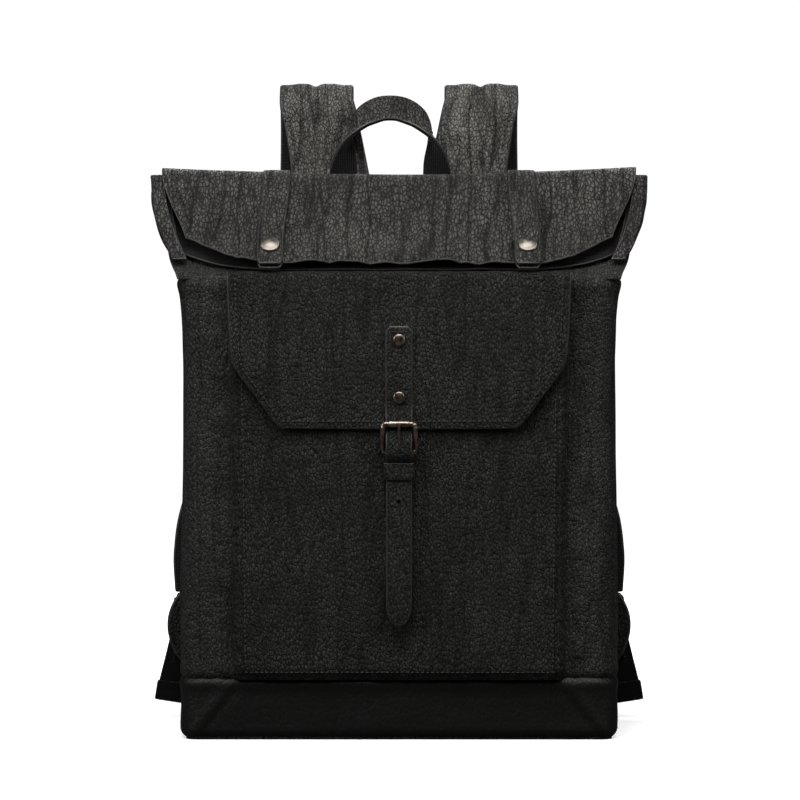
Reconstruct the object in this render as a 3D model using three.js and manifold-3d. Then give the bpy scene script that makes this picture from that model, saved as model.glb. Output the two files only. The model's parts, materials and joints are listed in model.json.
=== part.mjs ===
// A roll-top leather backpack with a front flap pocket, two padded shoulder straps and a top handle.
// Millimetres. +X is the right as seen from the front, the front faces -Y, +Z is up.
// The origin is the middle of the underside of the base.
import * as THREE from "three";
import { mergeVertices } from "three/addons/utils/BufferGeometryUtils.js";
import Module from "manifold-3d";

const wasm = await Module();
wasm.setup();

// ---------- driving dimensions ----------
const GAP = 0.3; // between pieces that touch
const LEATHER = 2;
const BODY_WIDTH = 311;
const BODY_DEPTH = 125;
const BASE_HEIGHT = 44;
const SHOULDER_Z = 330; // seam between the body and the throat
const BACK_PAD = 8;
const POCKET_HALF = 120;
const POCKET_DEPTH = 6.5;
const FOLD = { y: -6, z: 388 }; // the line the roll top folds over
const FOLD_OUTER_R = 15; // middle of the leather that goes over the outside of the fold
const FOLD_INNER_R = 3; // middle of the leather on its inside
const ROLL_TILT = 42; // degrees from upright
const ROLL_INNER_TILT = 44.5;
const ROLL_LENGTH = 74;
const ROLL_TOP_HALF = 176;
const ROLL_LIP_HALF = 152;
const CLOSURE_X = 92;
const CLOSURE_WIDTH = 20;
const SNAP_AT = 64; // distance of the snaps from the fold
const SNAP_R = 6.75;
const FLAP_TOP_Z = 331;
const FLAP_BOTTOM_Z = 224;
const FLAP_HALF = 122;
const FLAP_STRAP_HALF = 9.15;
const STRAP_TOP_Z = 296;
const TAIL_TOP_Z = 187.3;
const TAIL_TIP_Z = 83.5;
const RIVET_Z = [287, 246];
const RIVET_HOLE_R = 1.9;
const BUCKLE_BAR_R = 1.6;
const BUCKLE_HALF = 12.15;
const ROLLER_AT = { y: -82.9, z: 227.2 };
const LOWER_BAR_AT = { y: -77.2, z: 206.9 };
const ROLLER_R = 2.5;
const KEEPER_Z = [187.8, 198.7];
const HANDLE_X = -4;
const HANDLE_HALF_SPAN = 35;
const HANDLE_Y = 65.2;
const HANDLE_FOOT_Z = 340;
const HANDLE_TOP_Z = 455.6;
const HANDLE_LEAN = 40; // of the width over the top, front edge down, degrees
const STRAP_WIDTH = 52;
const STRAP_PAD = 12;
const STRAP_ARCH = { y: 90.6, z: 455 }; // middle of the bend over the top of the shoulder straps
const WEBBING_WIDTH = 38;

// ---------- derived places ----------
const FRONT_Y = -BODY_DEPTH / 2;
const BACK_Y = BODY_DEPTH / 2;
const HALF = BODY_WIDTH / 2;
const PANEL_OUT = 0.3; // panels sit this far inside the base band's outside
const POCKET_Y = FRONT_Y - POCKET_DEPTH - LEATHER; // front face of the pocket
const FLAP_Y = POCKET_Y - 1.6 - LEATHER; // front face of the flap
const SIDES = [
  ["left", -1],
  ["right", 1],
];
const radians = THREE.MathUtils.degToRad;

// ---------- materials ----------
const surface = (color, roughness, metalness = 0) => () =>
  new THREE.MeshStandardMaterial({ color, roughness, metalness });
const leather = surface(0x17181a, 0.5);
const lining = surface(0x2a2a2c, 0.9);
const webbing = surface(0x0c0c0d, 0.95);
const foam = surface(0x3b3b3d, 1);
const board = surface(0x6f675a, 0.9);
const gunmetal = surface(0x4a4743, 0.35, 1);
const nickel = surface(0xa9a49b, 0.25, 1);
const plastic = surface(0x101010, 0.45);

// ---------- solids ----------
const group = new THREE.Group();

function add(name, geometry, material) {
  const mesh = new THREE.Mesh(geometry, material());
  mesh.name = name;
  group.add(mesh);
  return mesh;
}

function solid(geometry) {
  const bare = geometry.clone();
  bare.deleteAttribute("normal");
  bare.deleteAttribute("uv");
  const merged = mergeVertices(bare, 1e-4);
  return new wasm.Manifold(
    new wasm.Mesh({
      numProp: 3,
      vertProperties: merged.attributes.position.array,
      triVerts: new Uint32Array(merged.index.array),
    }),
  );
}

function geometryOf(made) {
  const mesh = made.getMesh();
  const positions = new THREE.BufferAttribute(new Float32Array(mesh.vertProperties), 3);
  const geometry = new THREE.BufferGeometry().setAttribute("position", positions);
  geometry.setIndex(new THREE.BufferAttribute(new Uint32Array(mesh.triVerts), 1));
  geometry.computeVertexNormals();
  return geometry;
}

const join = (...pieces) => geometryOf(pieces.map(solid).reduce((a, b) => a.add(b)));
const cut = (from, ...pieces) =>
  geometryOf(pieces.map(solid).reduce((a, b) => a.subtract(b), solid(from)));

// A block between two corners.
function block([x0, x1], [y0, y1], [z0, z1]) {
  const box = new THREE.BoxGeometry(x1 - x0, y1 - y0, z1 - z0);
  return box.translate((x0 + x1) / 2, (y0 + y1) / 2, (z0 + z1) / 2);
}

const mirrored = ([low, high], sign) => (sign > 0 ? [low, high] : [-high, -low]);

// A box of across x along x 1 cells, each corner moved to place(u, v, w), with u and v in 0..1 and w in -0.5..0.5.
function bent(across, along, place) {
  const box = new THREE.BoxGeometry(1, 1, 1, across, along, 1);
  const position = box.attributes.position;
  for (let i = 0; i < position.count; i++) {
    const at = place(position.getX(i) + 0.5, position.getY(i) + 0.5, position.getZ(i));
    position.setXYZ(i, at.x, at.y, at.z);
  }
  if (signedVolume(box) < 0) {
    const index = box.index.array;
    for (let i = 0; i < index.length; i += 3) {
      [index[i + 1], index[i + 2]] = [index[i + 2], index[i + 1]];
    }
  }
  return box;
}

function signedVolume(geometry) {
  const corners = [new THREE.Vector3(), new THREE.Vector3(), new THREE.Vector3()];
  const index = geometry.index.array;
  let volume = 0;
  for (let i = 0; i < index.length; i += 3) {
    corners.forEach((c, k) => c.fromBufferAttribute(geometry.attributes.position, index[i + k]));
    volume += corners[0].dot(corners[1].clone().cross(corners[2])) / 6;
  }
  return volume;
}

// An outline in X and Z, thickened towards -Y from the plane y.
function upright(outline, y, thickness) {
  const made = new THREE.ExtrudeGeometry(outline, {
    depth: thickness,
    bevelEnabled: false,
    curveSegments: 6,
  });
  return made.rotateX(Math.PI / 2).translate(0, y, 0);
}

// An outline in Y and Z, widened along X from -half to half.
function crosswise(outline, half) {
  const made = new THREE.ExtrudeGeometry(outline, { depth: 2 * half, bevelEnabled: false });
  const turn = new THREE.Matrix4().makeBasis(
    new THREE.Vector3(0, 1, 0),
    new THREE.Vector3(0, 0, 1),
    new THREE.Vector3(1, 0, 0),
  );
  return made.applyMatrix4(turn).translate(-half, 0, 0);
}

// The outline of a strip that follows points [y, z] with the given thickness.
function strip(points, thickness) {
  const line = points.map(([y, z]) => new THREE.Vector2(y, z));
  const off = line.map((p, i) => {
    const before = line[Math.max(i - 1, 0)];
    const after = line[Math.min(i + 1, line.length - 1)];
    const into = (i ? p.clone().sub(before) : after.clone().sub(p)).normalize();
    const out = (i < line.length - 1 ? after.clone().sub(p) : into.clone()).normalize();
    const middle = into.clone().add(out).normalize();
    const across = new THREE.Vector2(-middle.y, middle.x);
    return across.multiplyScalar(thickness / 2 / middle.dot(into));
  });
  const one = line.map((p, i) => p.clone().add(off[i]));
  const other = line.map((p, i) => p.clone().sub(off[i]));
  return new THREE.Shape([...one, ...other.reverse()]);
}

function roundedRect(width, depth, radius) {
  const shape = new THREE.Shape();
  const [w, d] = [width / 2, depth / 2];
  shape.moveTo(-w + radius, -d);
  shape.lineTo(w - radius, -d);
  shape.absarc(w - radius, -d + radius, radius, -Math.PI / 2, 0);
  shape.lineTo(w, d - radius);
  shape.absarc(w - radius, d - radius, radius, 0, Math.PI / 2);
  shape.lineTo(-w + radius, d);
  shape.absarc(-w + radius, d - radius, radius, Math.PI / 2, Math.PI);
  shape.lineTo(-w, -d + radius);
  shape.absarc(-w + radius, -d + radius, radius, Math.PI, 1.5 * Math.PI);
  return shape;
}

// A round bar along X, and one between two points.
function barX(radius, half, { y, z }, x = 0, sides = 16) {
  const bar = new THREE.CylinderGeometry(radius, radius, 2 * half, sides);
  return bar.rotateZ(Math.PI / 2).translate(x, y, z);
}

function rod(radius, from, to, sides = 12) {
  const along = to.clone().sub(from);
  const bar = new THREE.CylinderGeometry(radius, radius, along.length(), sides);
  const turn = new THREE.Quaternion().setFromUnitVectors(
    new THREE.Vector3(0, 1, 0),
    along.clone().normalize(),
  );
  const middle = from.clone().add(to).multiplyScalar(0.5);
  return bar.applyQuaternion(turn).translate(middle.x, middle.y, middle.z);
}

// A ribbon along a curve, its width kept as near as it can be to the direction side(v).
function ribbon(points, steps, shape, across = 1) {
  const { width, thickness, offset = 0, side = () => X_AXIS } = shape;
  const curve = new THREE.CatmullRomCurve3(points.map((p) => new THREE.Vector3(...p)));
  return bent(across, steps, (u, v, w) => {
    const tangent = curve.getTangentAt(v);
    const sideways = side(v).clone();
    sideways.addScaledVector(tangent, -sideways.dot(tangent)).normalize();
    const normal = sideways.clone().cross(tangent);
    return curve
      .getPointAt(v)
      .addScaledVector(sideways, (u - 0.5) * width(v))
      .addScaledVector(normal, w * thickness(v) + offset);
  });
}

const X_AXIS = new THREE.Vector3(1, 0, 0);
const mix = THREE.MathUtils.lerp;

// ---------- body ----------
function addBase() {
  const corner = 12;
  const band = roundedRect(BODY_WIDTH, BODY_DEPTH, corner);
  band.holes.push(roundedRect(BODY_WIDTH - 4.4, BODY_DEPTH - 4.4, corner - 2.2));
  const ring = new THREE.ExtrudeGeometry(band, {
    depth: BASE_HEIGHT,
    bevelEnabled: false,
    curveSegments: 5,
  });
  add("base_band", ring, leather);
  const floor = new THREE.ExtrudeGeometry(
    roundedRect(BODY_WIDTH - 4.4 - 2 * GAP, BODY_DEPTH - 4.4 - 2 * GAP, corner - 2.2 - GAP),
    { depth: 2.5, bevelEnabled: false, curveSegments: 5 },
  );
  add("bottom_panel", floor, leather);
  add("base_board", block([-148, 148], [-56, 50], [2.8, 5.3]), board);
}

function addBodyPanels() {
  const z = [BASE_HEIGHT + GAP, SHOULDER_Z];
  const inset = LEATHER + PANEL_OUT;
  const half = HALF - PANEL_OUT;
  add("front_panel", block([-half, half], [FRONT_Y + PANEL_OUT, FRONT_Y + inset], z), leather);
  add("back_panel", block([-half, half], [BACK_Y - inset, BACK_Y - PANEL_OUT], z), leather);
  for (const [name, sign] of SIDES) {
    const x = mirrored([half - LEATHER, half], sign);
    add(`side_panel_${name}`, block(x, [FRONT_Y + inset + GAP, BACK_Y - inset - GAP], z), leather);
  }
  const padBack = BACK_Y - inset - GAP;
  add("back_foam", block([-140, 140], [padBack - BACK_PAD, padBack], [50, 320]), foam);
}

function addInside() {
  const half = HALF - PANEL_OUT - LEATHER - GAP;
  const front = FRONT_Y + LEATHER + PANEL_OUT + GAP;
  const back = BACK_Y - LEATHER - PANEL_OUT - BACK_PAD - 2 * GAP;
  const skin = 0.8;
  const floor = 5.6;
  const tub = (inset, from, to) => {
    const outline = roundedRect(2 * (half - inset), back - front - 2 * inset, 11 - inset);
    const made = new THREE.ExtrudeGeometry(outline, {
      depth: to - from,
      bevelEnabled: false,
      curveSegments: 5,
    });
    return made.translate(0, (front + back) / 2, from);
  };
  const bag = cut(tub(0, floor, SHOULDER_Z - 2), tub(skin, floor + skin, SHOULDER_Z));
  add("main_lining", bag, lining);
  add("laptop_divider", block([-146, 146], [back - 15, back - 10], [8, 262]), lining);
}

// The line from a point to the circle of radius r round the fold, touching it on its back side.
function toFold(point, r) {
  const away = new THREE.Vector2(point[0] - FOLD.y, point[1] - FOLD.z);
  const angle = Math.atan2(away.y, away.x) + Math.acos(r / away.length());
  return [FOLD.y + r * Math.cos(angle), FOLD.z + r * Math.sin(angle)];
}

const throatFront = [[FRONT_Y + 1.3, SHOULDER_Z + 1]];
throatFront.push(toFold(throatFront[0], FOLD_INNER_R));
const throatBack = [[BACK_Y - 1.3, SHOULDER_Z + 1.1]];
throatBack.push(toFold(throatBack[0], FOLD_OUTER_R));

// A flat sheet between two points in Y and Z, with its own half width at each end.
function sheet([from, to], halves, thickness) {
  const [a, b] = [new THREE.Vector2(...from), new THREE.Vector2(...to)];
  const along = b.clone().sub(a).normalize();
  return bent(1, 1, (u, v, w) => {
    const half = mix(halves[0], halves[1], v);
    const y = mix(a.x, b.x, v) - along.y * w * thickness;
    const z = mix(a.y, b.y, v) + along.x * w * thickness;
    return new THREE.Vector3((2 * u - 1) * half, y, z);
  });
}

function addThroat() {
  const lower = HALF - 2;
  add("throat_front", sheet(throatFront, [lower, ROLL_TOP_HALF - 5], 1.6), leather);
  add("throat_back", sheet(throatBack, [lower, ROLL_TOP_HALF - 1], LEATHER), leather);
  const [low, high] = [SHOULDER_Z + 1.5, FOLD.z - 12];
  const yOn = ([a, b], z) => mix(a[0], b[0], (z - a[1]) / (b[1] - a[1]));
  for (const [name, sign] of SIDES) {
    const gusset = bent(1, 1, (u, v, w) => {
      const z = mix(low, high, v);
      const y = mix(yOn(throatFront, z) + 2, yOn(throatBack, z) - 2.2, u);
      const x = mix(lower - 3, ROLL_TOP_HALF - 9, v) + w * 1.6;
      return new THREE.Vector3(sign * x, y, z);
    });
    add(`throat_gusset_${name}`, gusset, leather);
  }
}

// ---------- roll top ----------
const tilted = (degrees) => ({
  out: new THREE.Vector3(0, -Math.cos(radians(degrees)), Math.sin(radians(degrees))),
  down: new THREE.Vector3(0, -Math.sin(radians(degrees)), -Math.cos(radians(degrees))),
});

// A point on the roll: offset out from the fold line, and distance down from it.
function onRoll(x, offset, distance, degrees = ROLL_TILT) {
  const { out, down } = tilted(degrees);
  return new THREE.Vector3(x, FOLD.y, FOLD.z)
    .addScaledVector(out, offset)
    .addScaledVector(down, distance);
}

// Places a geometry made with its Z along the roll's outward normal and its Y up the roll.
function stoodOnRoll(geometry, x, offset, distance) {
  const at = onRoll(x, offset, distance);
  return geometry.rotateX(radians(90 - ROLL_TILT)).translate(at.x, at.y, at.z);
}

const rollHalf = (distance) => mix(ROLL_TOP_HALF, ROLL_LIP_HALF, distance / ROLL_LENGTH);

function addRoll() {
  const layer = (inset, offset, thickness, degrees) =>
    bent(1, 1, (u, v, w) => {
      const distance = mix(0.5, ROLL_LENGTH, v);
      const x = (2 * u - 1) * (rollHalf(distance) - inset);
      return onRoll(x, offset + w * thickness, distance, degrees);
    });
  add("roll_outer", layer(0, FOLD_OUTER_R, LEATHER, ROLL_TILT), leather);
  add("roll_inner", layer(5, FOLD_INNER_R, 1.6, ROLL_INNER_TILT), leather);
  for (const [name, sign] of SIDES) {
    const end = bent(1, 1, (u, v, w) => {
      const distance = mix(4, 52, v);
      const x = sign * (rollHalf(distance) - 7 + w * 1.6);
      const inner = onRoll(x, FOLD_INNER_R + 1.3, distance, ROLL_INNER_TILT);
      return inner.lerp(onRoll(x, FOLD_OUTER_R - 1.5, distance), u);
    });
    add(`roll_end_${name}`, end, leather);
  }
  const [from, to] = [throatBack[1], [onRoll(0, FOLD_OUTER_R, 0).y, onRoll(0, FOLD_OUTER_R, 0).z]];
  const angleOf = ([y, z]) => Math.atan2(z - FOLD.z, y - FOLD.y);
  const arc = bent(1, 8, (u, v, w) => {
    const angle = mix(angleOf(from) + 0.03, angleOf(to) - 0.01, v);
    const r = FOLD_OUTER_R + w * LEATHER;
    const x = (2 * u - 1) * ROLL_TOP_HALF;
    return new THREE.Vector3(x, FOLD.y + r * Math.cos(angle), FOLD.z + r * Math.sin(angle));
  });
  add("fold_outer", arc, leather);
}

function snapCap() {
  const profile = [
    [0, -2.7],
    [1.8, -2.7],
    [1.8, GAP],
    [SNAP_R, GAP],
    [SNAP_R, 1.1],
    [5.4, 2.3],
    [3, 3],
    [0, 3.2],
  ];
  const points = profile.map(([r, h]) => new THREE.Vector2(r, h));
  return new THREE.LatheGeometry(points, 20).rotateX(Math.PI / 2);
}

// A flat strap in X and Y with a round lower end and holes, thickened along Z.
function strapShape(halfWidth, top, bottom, holes = []) {
  const shape = new THREE.Shape();
  shape.moveTo(-halfWidth, top);
  shape.lineTo(-halfWidth, bottom + 4);
  shape.quadraticCurveTo(-halfWidth, bottom, 4 - halfWidth, bottom);
  shape.lineTo(halfWidth - 4, bottom);
  shape.quadraticCurveTo(halfWidth, bottom, halfWidth, bottom + 4);
  shape.lineTo(halfWidth, top);
  for (const [y, r] of holes) {
    shape.holes.push(new THREE.Path().absarc(0, y, r, 0, 2 * Math.PI, true));
  }
  return shape;
}

const flat = (shape, depth) =>
  new THREE.ExtrudeGeometry(shape, { depth, bevelEnabled: false, curveSegments: 5 });

function addClosures() {
  const tabOffset = FOLD_OUTER_R + LEATHER / 2 + GAP;
  const strapOffset = tabOffset + LEATHER + 1.7;
  const strapThickness = 2.4;
  for (const [name, sign] of SIDES) {
    const x = sign * CLOSURE_X;
    const tab = flat(strapShape(9, -50, -84), LEATHER);
    add(`snap_tab_${name}`, stoodOnRoll(tab, x, tabOffset, 0), leather);
    const stud = new THREE.CylinderGeometry(3.6, 4.4, 1, 20).rotateX(Math.PI / 2);
    const studAt = tabOffset + LEATHER + GAP + 0.5;
    add(`snap_stud_${name}`, stoodOnRoll(stud, x, studAt, SNAP_AT), nickel);
    const strap = flat(strapShape(CLOSURE_WIDTH / 2, -1, -81, [[-SNAP_AT, 2.2]]), strapThickness);
    add(`closure_strap_${name}`, stoodOnRoll(strap, x, strapOffset, 0), leather);
    const capAt = strapOffset + strapThickness;
    add(`snap_cap_${name}`, stoodOnRoll(snapCap(), x, capAt, SNAP_AT), nickel);

    // the sewn end of the strap, up the back of the throat to the fold
    const [a, b] = throatBack;
    const away = LEATHER / 2 + GAP + 1.2;
    const length = Math.hypot(b[0] - a[0], b[1] - a[1]);
    const normal = [(b[1] - a[1]) / length, (a[0] - b[0]) / length];
    const spot = (t) => [mix(a[0], b[0], t) + normal[0] * away, mix(a[1], b[1], t) + normal[1] * away];
    const sewn = sheet([spot(0.3), spot(1)], [CLOSURE_WIDTH / 2, CLOSURE_WIDTH / 2], 2.4);
    add(`closure_strap_base_${name}`, sewn.translate(x, 0, 0), leather);
  }
}

// ---------- front pocket ----------
function addPocket() {
  const top = FLAP_TOP_Z - 6;
  const bottom = BASE_HEIGHT + 0.6;
  const back = FRONT_Y + PANEL_OUT - GAP;
  const panel = [POCKET_Y, POCKET_Y + LEATHER];
  add("pocket_panel", block([-POCKET_HALF, POCKET_HALF], panel, [bottom, top]), leather);
  const depth = [POCKET_Y + LEATHER + GAP, back];
  for (const [name, sign] of SIDES) {
    const x = mirrored([POCKET_HALF - LEATHER, POCKET_HALF], sign);
    add(`pocket_gusset_${name}`, block(x, depth, [bottom, top]), leather);
  }
  const inner = POCKET_HALF - LEATHER - GAP;
  add("pocket_floor", block([-inner, inner], depth, [bottom, bottom + 1.6]), leather);
  const magnet = new THREE.CylinderGeometry(7, 7, 2.4, 20);
  const magnetY = POCKET_Y + LEATHER + GAP + 1.2;
  add("magnet_snap_female", magnet.translate(0, magnetY, MAGNET_Z), nickel);
}

const MAGNET_Z = 177;

function flapOutline() {
  const shape = new THREE.Shape();
  const corner = 5;
  const [chamferZ, chamferX] = [260, 92];
  shape.moveTo(-FLAP_HALF, FLAP_TOP_Z);
  shape.lineTo(3 - FLAP_HALF, chamferZ + corner);
  shape.quadraticCurveTo(3 - FLAP_HALF, chamferZ, 6 - FLAP_HALF, chamferZ - corner);
  shape.lineTo(-chamferX - 3, FLAP_BOTTOM_Z + corner - 1);
  shape.quadraticCurveTo(-chamferX, FLAP_BOTTOM_Z, 4 - chamferX, FLAP_BOTTOM_Z);
  shape.lineTo(chamferX - 4, FLAP_BOTTOM_Z);
  shape.quadraticCurveTo(chamferX, FLAP_BOTTOM_Z, chamferX + 3, FLAP_BOTTOM_Z + corner - 1);
  shape.lineTo(FLAP_HALF - 6, chamferZ - corner);
  shape.quadraticCurveTo(FLAP_HALF - 3, chamferZ, FLAP_HALF - 3, chamferZ + corner);
  shape.lineTo(FLAP_HALF, FLAP_TOP_Z);
  for (const z of RIVET_Z) {
    shape.holes.push(new THREE.Path().absarc(0, z, RIVET_HOLE_R, 0, 2 * Math.PI, true));
  }
  return shape;
}

const FLAP_HINGE = { y: FLAP_Y + LEATHER + 2.6, z: FLAP_TOP_Z };

function addFlap() {
  const plate = upright(flapOutline(), FLAP_Y + LEATHER, LEATHER);
  const roundedTop = barX(3, FLAP_HALF, FLAP_HINGE);
  add("pocket_flap", join(plate, roundedTop), leather);
}

// ---------- flap strap and buckle ----------
const STRAP_Y = FLAP_Y - GAP - 1; // middle of the strap where it lies on the flap
const TAIL_Y = -76.9; // middle of the strap below the keeper

function addFlapStrap() {
  const route = [
    [STRAP_Y, STRAP_TOP_Z],
    [STRAP_Y, 237],
    [-78.6, 228],
    [-82.1, 213],
    [-82.1, 205],
    [-79.8, 202],
    [TAIL_Y, 199.8],
    [TAIL_Y, TAIL_TOP_Z + GAP],
  ];
  const band = crosswise(strip(route, LEATHER), FLAP_STRAP_HALF);
  const holes = RIVET_Z.map((z) =>
    new THREE.CylinderGeometry(RIVET_HOLE_R, RIVET_HOLE_R, 8, 16).translate(0, STRAP_Y, z),
  );
  const prongSlot = block([-2, 2], [-86, -76], [206, 221]);
  add("flap_strap", cut(band, ...holes, prongSlot), leather);

  const tail = new THREE.Shape();
  const top = TAIL_TOP_Z - 0.1;
  tail.moveTo(-FLAP_STRAP_HALF, top);
  tail.lineTo(-FLAP_STRAP_HALF, TAIL_TIP_Z + 17);
  tail.quadraticCurveTo(-FLAP_STRAP_HALF, TAIL_TIP_Z + 5, -2, TAIL_TIP_Z);
  tail.lineTo(2, TAIL_TIP_Z);
  tail.quadraticCurveTo(FLAP_STRAP_HALF, TAIL_TIP_Z + 5, FLAP_STRAP_HALF, TAIL_TIP_Z + 17);
  tail.lineTo(FLAP_STRAP_HALF, top);
  tail.holes.push(new THREE.Path().absarc(0, 171.5, 1.6, 0, 2 * Math.PI, true));
  add("strap_tail", upright(tail, TAIL_Y + LEATHER / 2, LEATHER), leather);
}

function addRivets() {
  ["upper", "lower"].forEach((name, i) => {
    const front = STRAP_Y - LEATHER / 2 - GAP;
    const back = FLAP_Y + LEATHER + GAP;
    const profile = [
      [0, 0.9],
      [3.4, 0.9],
      [3.4, 0],
      [1.6, 0],
      [1.6, front - back],
      [4.4, front - back],
      [4.2, front - back - 1.2],
      [2.6, front - back - 2.4],
      [0, front - back - 2.8],
    ];
    const points = profile.map(([r, h]) => new THREE.Vector2(r, h)).reverse();
    const rivet = new THREE.LatheGeometry(points, 20);
    add(`rivet_${name}`, rivet.translate(0, back, RIVET_Z[i]), gunmetal);
  });
}

function addBuckle() {
  const corners = [-1, 1].flatMap((sign) => [
    new THREE.Vector3(sign * BUCKLE_HALF, LOWER_BAR_AT.y, LOWER_BAR_AT.z),
    new THREE.Vector3(sign * BUCKLE_HALF, ROLLER_AT.y, ROLLER_AT.z),
  ]);
  const knuckles = corners.map((c) =>
    new THREE.SphereGeometry(BUCKLE_BAR_R, 12, 8).translate(c.x, c.y, c.z),
  );
  const sides = [0, 2].map((i) => rod(BUCKLE_BAR_R, corners[i], corners[i + 1]));
  const bars = [LOWER_BAR_AT, ROLLER_AT].map((at) => barX(BUCKLE_BAR_R, BUCKLE_HALF, at));
  add("buckle_frame", join(...bars, ...sides, ...knuckles), gunmetal);

  const roller = cut(barX(ROLLER_R, 7.5, ROLLER_AT, 0, 20), barX(1.85, 9, ROLLER_AT, 0, 16));
  add("buckle_roller", roller, gunmetal);

  const eye = cut(barX(3.1, 1.7, LOWER_BAR_AT), barX(1.9, 3, LOWER_BAR_AT));
  const root = new THREE.Vector3(0, LOWER_BAR_AT.y - 2.5, LOWER_BAR_AT.z + 0.6);
  const tip = new THREE.Vector3(0, ROLLER_AT.y - ROLLER_R - 1.8, ROLLER_AT.z + 1);
  add("buckle_prong", join(eye, rod(1.2, root, tip)), gunmetal);

  const tabBack = -72.8;
  const loop = join(
    block([-9, 9], [tabBack - 2.8, tabBack], [168, 205]),
    barX(3.2, 9, LOWER_BAR_AT),
  );
  const prongGap = block([-2.4, 2.4], [-82, -73.8], [202.6, 212]);
  add("buckle_tab", cut(loop, barX(1.9, 10, LOWER_BAR_AT), prongGap), leather);

  const keeper = cut(
    block([-11, 11], [-79.5, -71.3], KEEPER_Z),
    block([-9.6, 9.6], [-78.2, -72.5], [KEEPER_Z[0] - 1, KEEPER_Z[1] + 1]),
  );
  add("strap_keeper", keeper, leather);

  const magnet = new THREE.CylinderGeometry(7, 7, 1.2, 20);
  add("magnet_snap_male", magnet.translate(0, tabBack + GAP + 0.6, MAGNET_Z), nickel);
}

// ---------- carrying ----------
function addHandle() {
  const foot = HANDLE_FOOT_Z;
  const rise = HANDLE_TOP_Z - foot;
  const route = [];
  for (const [across, up] of [
    [-1, 0],
    [-1, 0.5],
    [-0.9, 0.8],
    [-0.5, 0.97],
    [0, 1],
  ]) {
    route.push([HANDLE_X + across * HANDLE_HALF_SPAN, HANDLE_Y - 2.5 * up, foot + up * rise]);
  }
  const second = route.slice(0, -1).map(([x, y, z]) => [2 * HANDLE_X - x, y, z]);
  route.push(...second.reverse());
  // the width lies along X at the feet, and over the top it leans down to the front
  const lean = radians(HANDLE_LEAN);
  const side = (v) => {
    const turn = Math.PI * THREE.MathUtils.smoothstep(v, 0.28, 0.72);
    const away = Math.sin(turn);
    return new THREE.Vector3(Math.cos(turn), away * Math.cos(lean), away * Math.sin(lean));
  };
  const layer = (offset, thickness) =>
    ribbon(route, 84, { width: () => 19, thickness: () => thickness, offset, side }, 4);
  add("handle_webbing", layer(1.35, 1.6), webbing);
  add("handle_leather", layer(-1.35, 2), leather);
  add("strap_yoke", block([-108, 108], [BACK_Y, BACK_Y + 2.2], [288, 336]), leather);
}

function addShoulderStraps() {
  const pad = STRAP_PAD;
  for (const [name, sign] of SIDES) {
    const arch = (degrees) => [
      60,
      STRAP_ARCH.y + 11 * Math.cos(radians(degrees)),
      STRAP_ARCH.z + 12 * Math.sin(radians(degrees)),
    ];
    const rising = [
      [46, 71.2, 312],
      [49, 73, 360],
      [54, 76.5, 420],
      ...[175, 150, 128, 116, 107, 104].map(arch),
    ];
    const falling = [
      ...[76, 73, 64, 50, 30, 5].map(arch),
      [61, 104, 420],
      [63, 107, 360],
      [74, 108, 290],
      [102, 104, 222],
      [134, 100, 160],
      [143, 98, 125],
      [143, 97, 96],
    ];
    const toSide = (points) => points.map(([x, y, z]) => [sign * x, y, z]);
    const up = ribbon(toSide(rising), 14, {
      width: () => STRAP_WIDTH,
      thickness: (v) => mix(5, pad, THREE.MathUtils.smoothstep(v, 0, 0.5)),
    });
    add(`shoulder_strap_upper_${name}`, up, leather);
    const down = ribbon(toSide(falling), 26, {
      width: (v) => mix(STRAP_WIDTH, 46, THREE.MathUtils.smoothstep(v, 0.8, 1)),
      thickness: () => pad,
    });
    add(`shoulder_strap_lower_${name}`, down, leather);
    addStrapEnd(name, sign);
  }
}

function addStrapEnd(name, sign) {
  // ladder lock below the pad
  const lock = roundedRect(46, 24, 3);
  for (const y of [5.5, -5.5]) {
    const slot = roundedRect(40, 4.5, 1);
    lock.holes.push(new THREE.Path(slot.getPoints(3).map((p) => p.clone().add({ x: 0, y }))));
  }
  const frame = flat(lock, 4).rotateX(Math.PI / 2).rotateY(sign * -radians(6));
  add(`strap_slider_${name}`, frame.translate(sign * 145, 99, 79), plastic);

  const tail = [
    [sign * 147, 102.5, 80],
    [sign * 154, 103, 48],
    [sign * 163, 101, 12],
  ];
  const flatBand = { width: () => WEBBING_WIDTH, thickness: () => 1.8 };
  add(`webbing_tail_${name}`, ribbon(tail, 4, flatBand), webbing);

  const anchor = [
    [sign * 147, 70.5, 46],
    [sign * 146, 80, 62],
    [sign * 145, 90, 72],
  ];
  add(`anchor_webbing_${name}`, ribbon(anchor, 4, flatBand), webbing);

  const tab = new THREE.Shape();
  tab.moveTo(sign * 140, 42);
  tab.lineTo(sign * 158, 42);
  tab.quadraticCurveTo(sign * 169, 58, sign * 170, 70);
  tab.quadraticCurveTo(sign * 170, 84, sign * 162, 94);
  tab.lineTo(sign * 140, 100);
  add(`anchor_tab_${name}`, upright(tab, 66.2, 3.4), leather);
}

addBase();
addBodyPanels();
addInside();
addThroat();
addRoll();
addClosures();
addPocket();
addFlap();
addFlapStrap();
addRivets();
addBuckle();
addHandle();
addShoulderStraps();

export default group;
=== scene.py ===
import json
import math

import bpy
from mathutils import Matrix, Vector, noise


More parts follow.
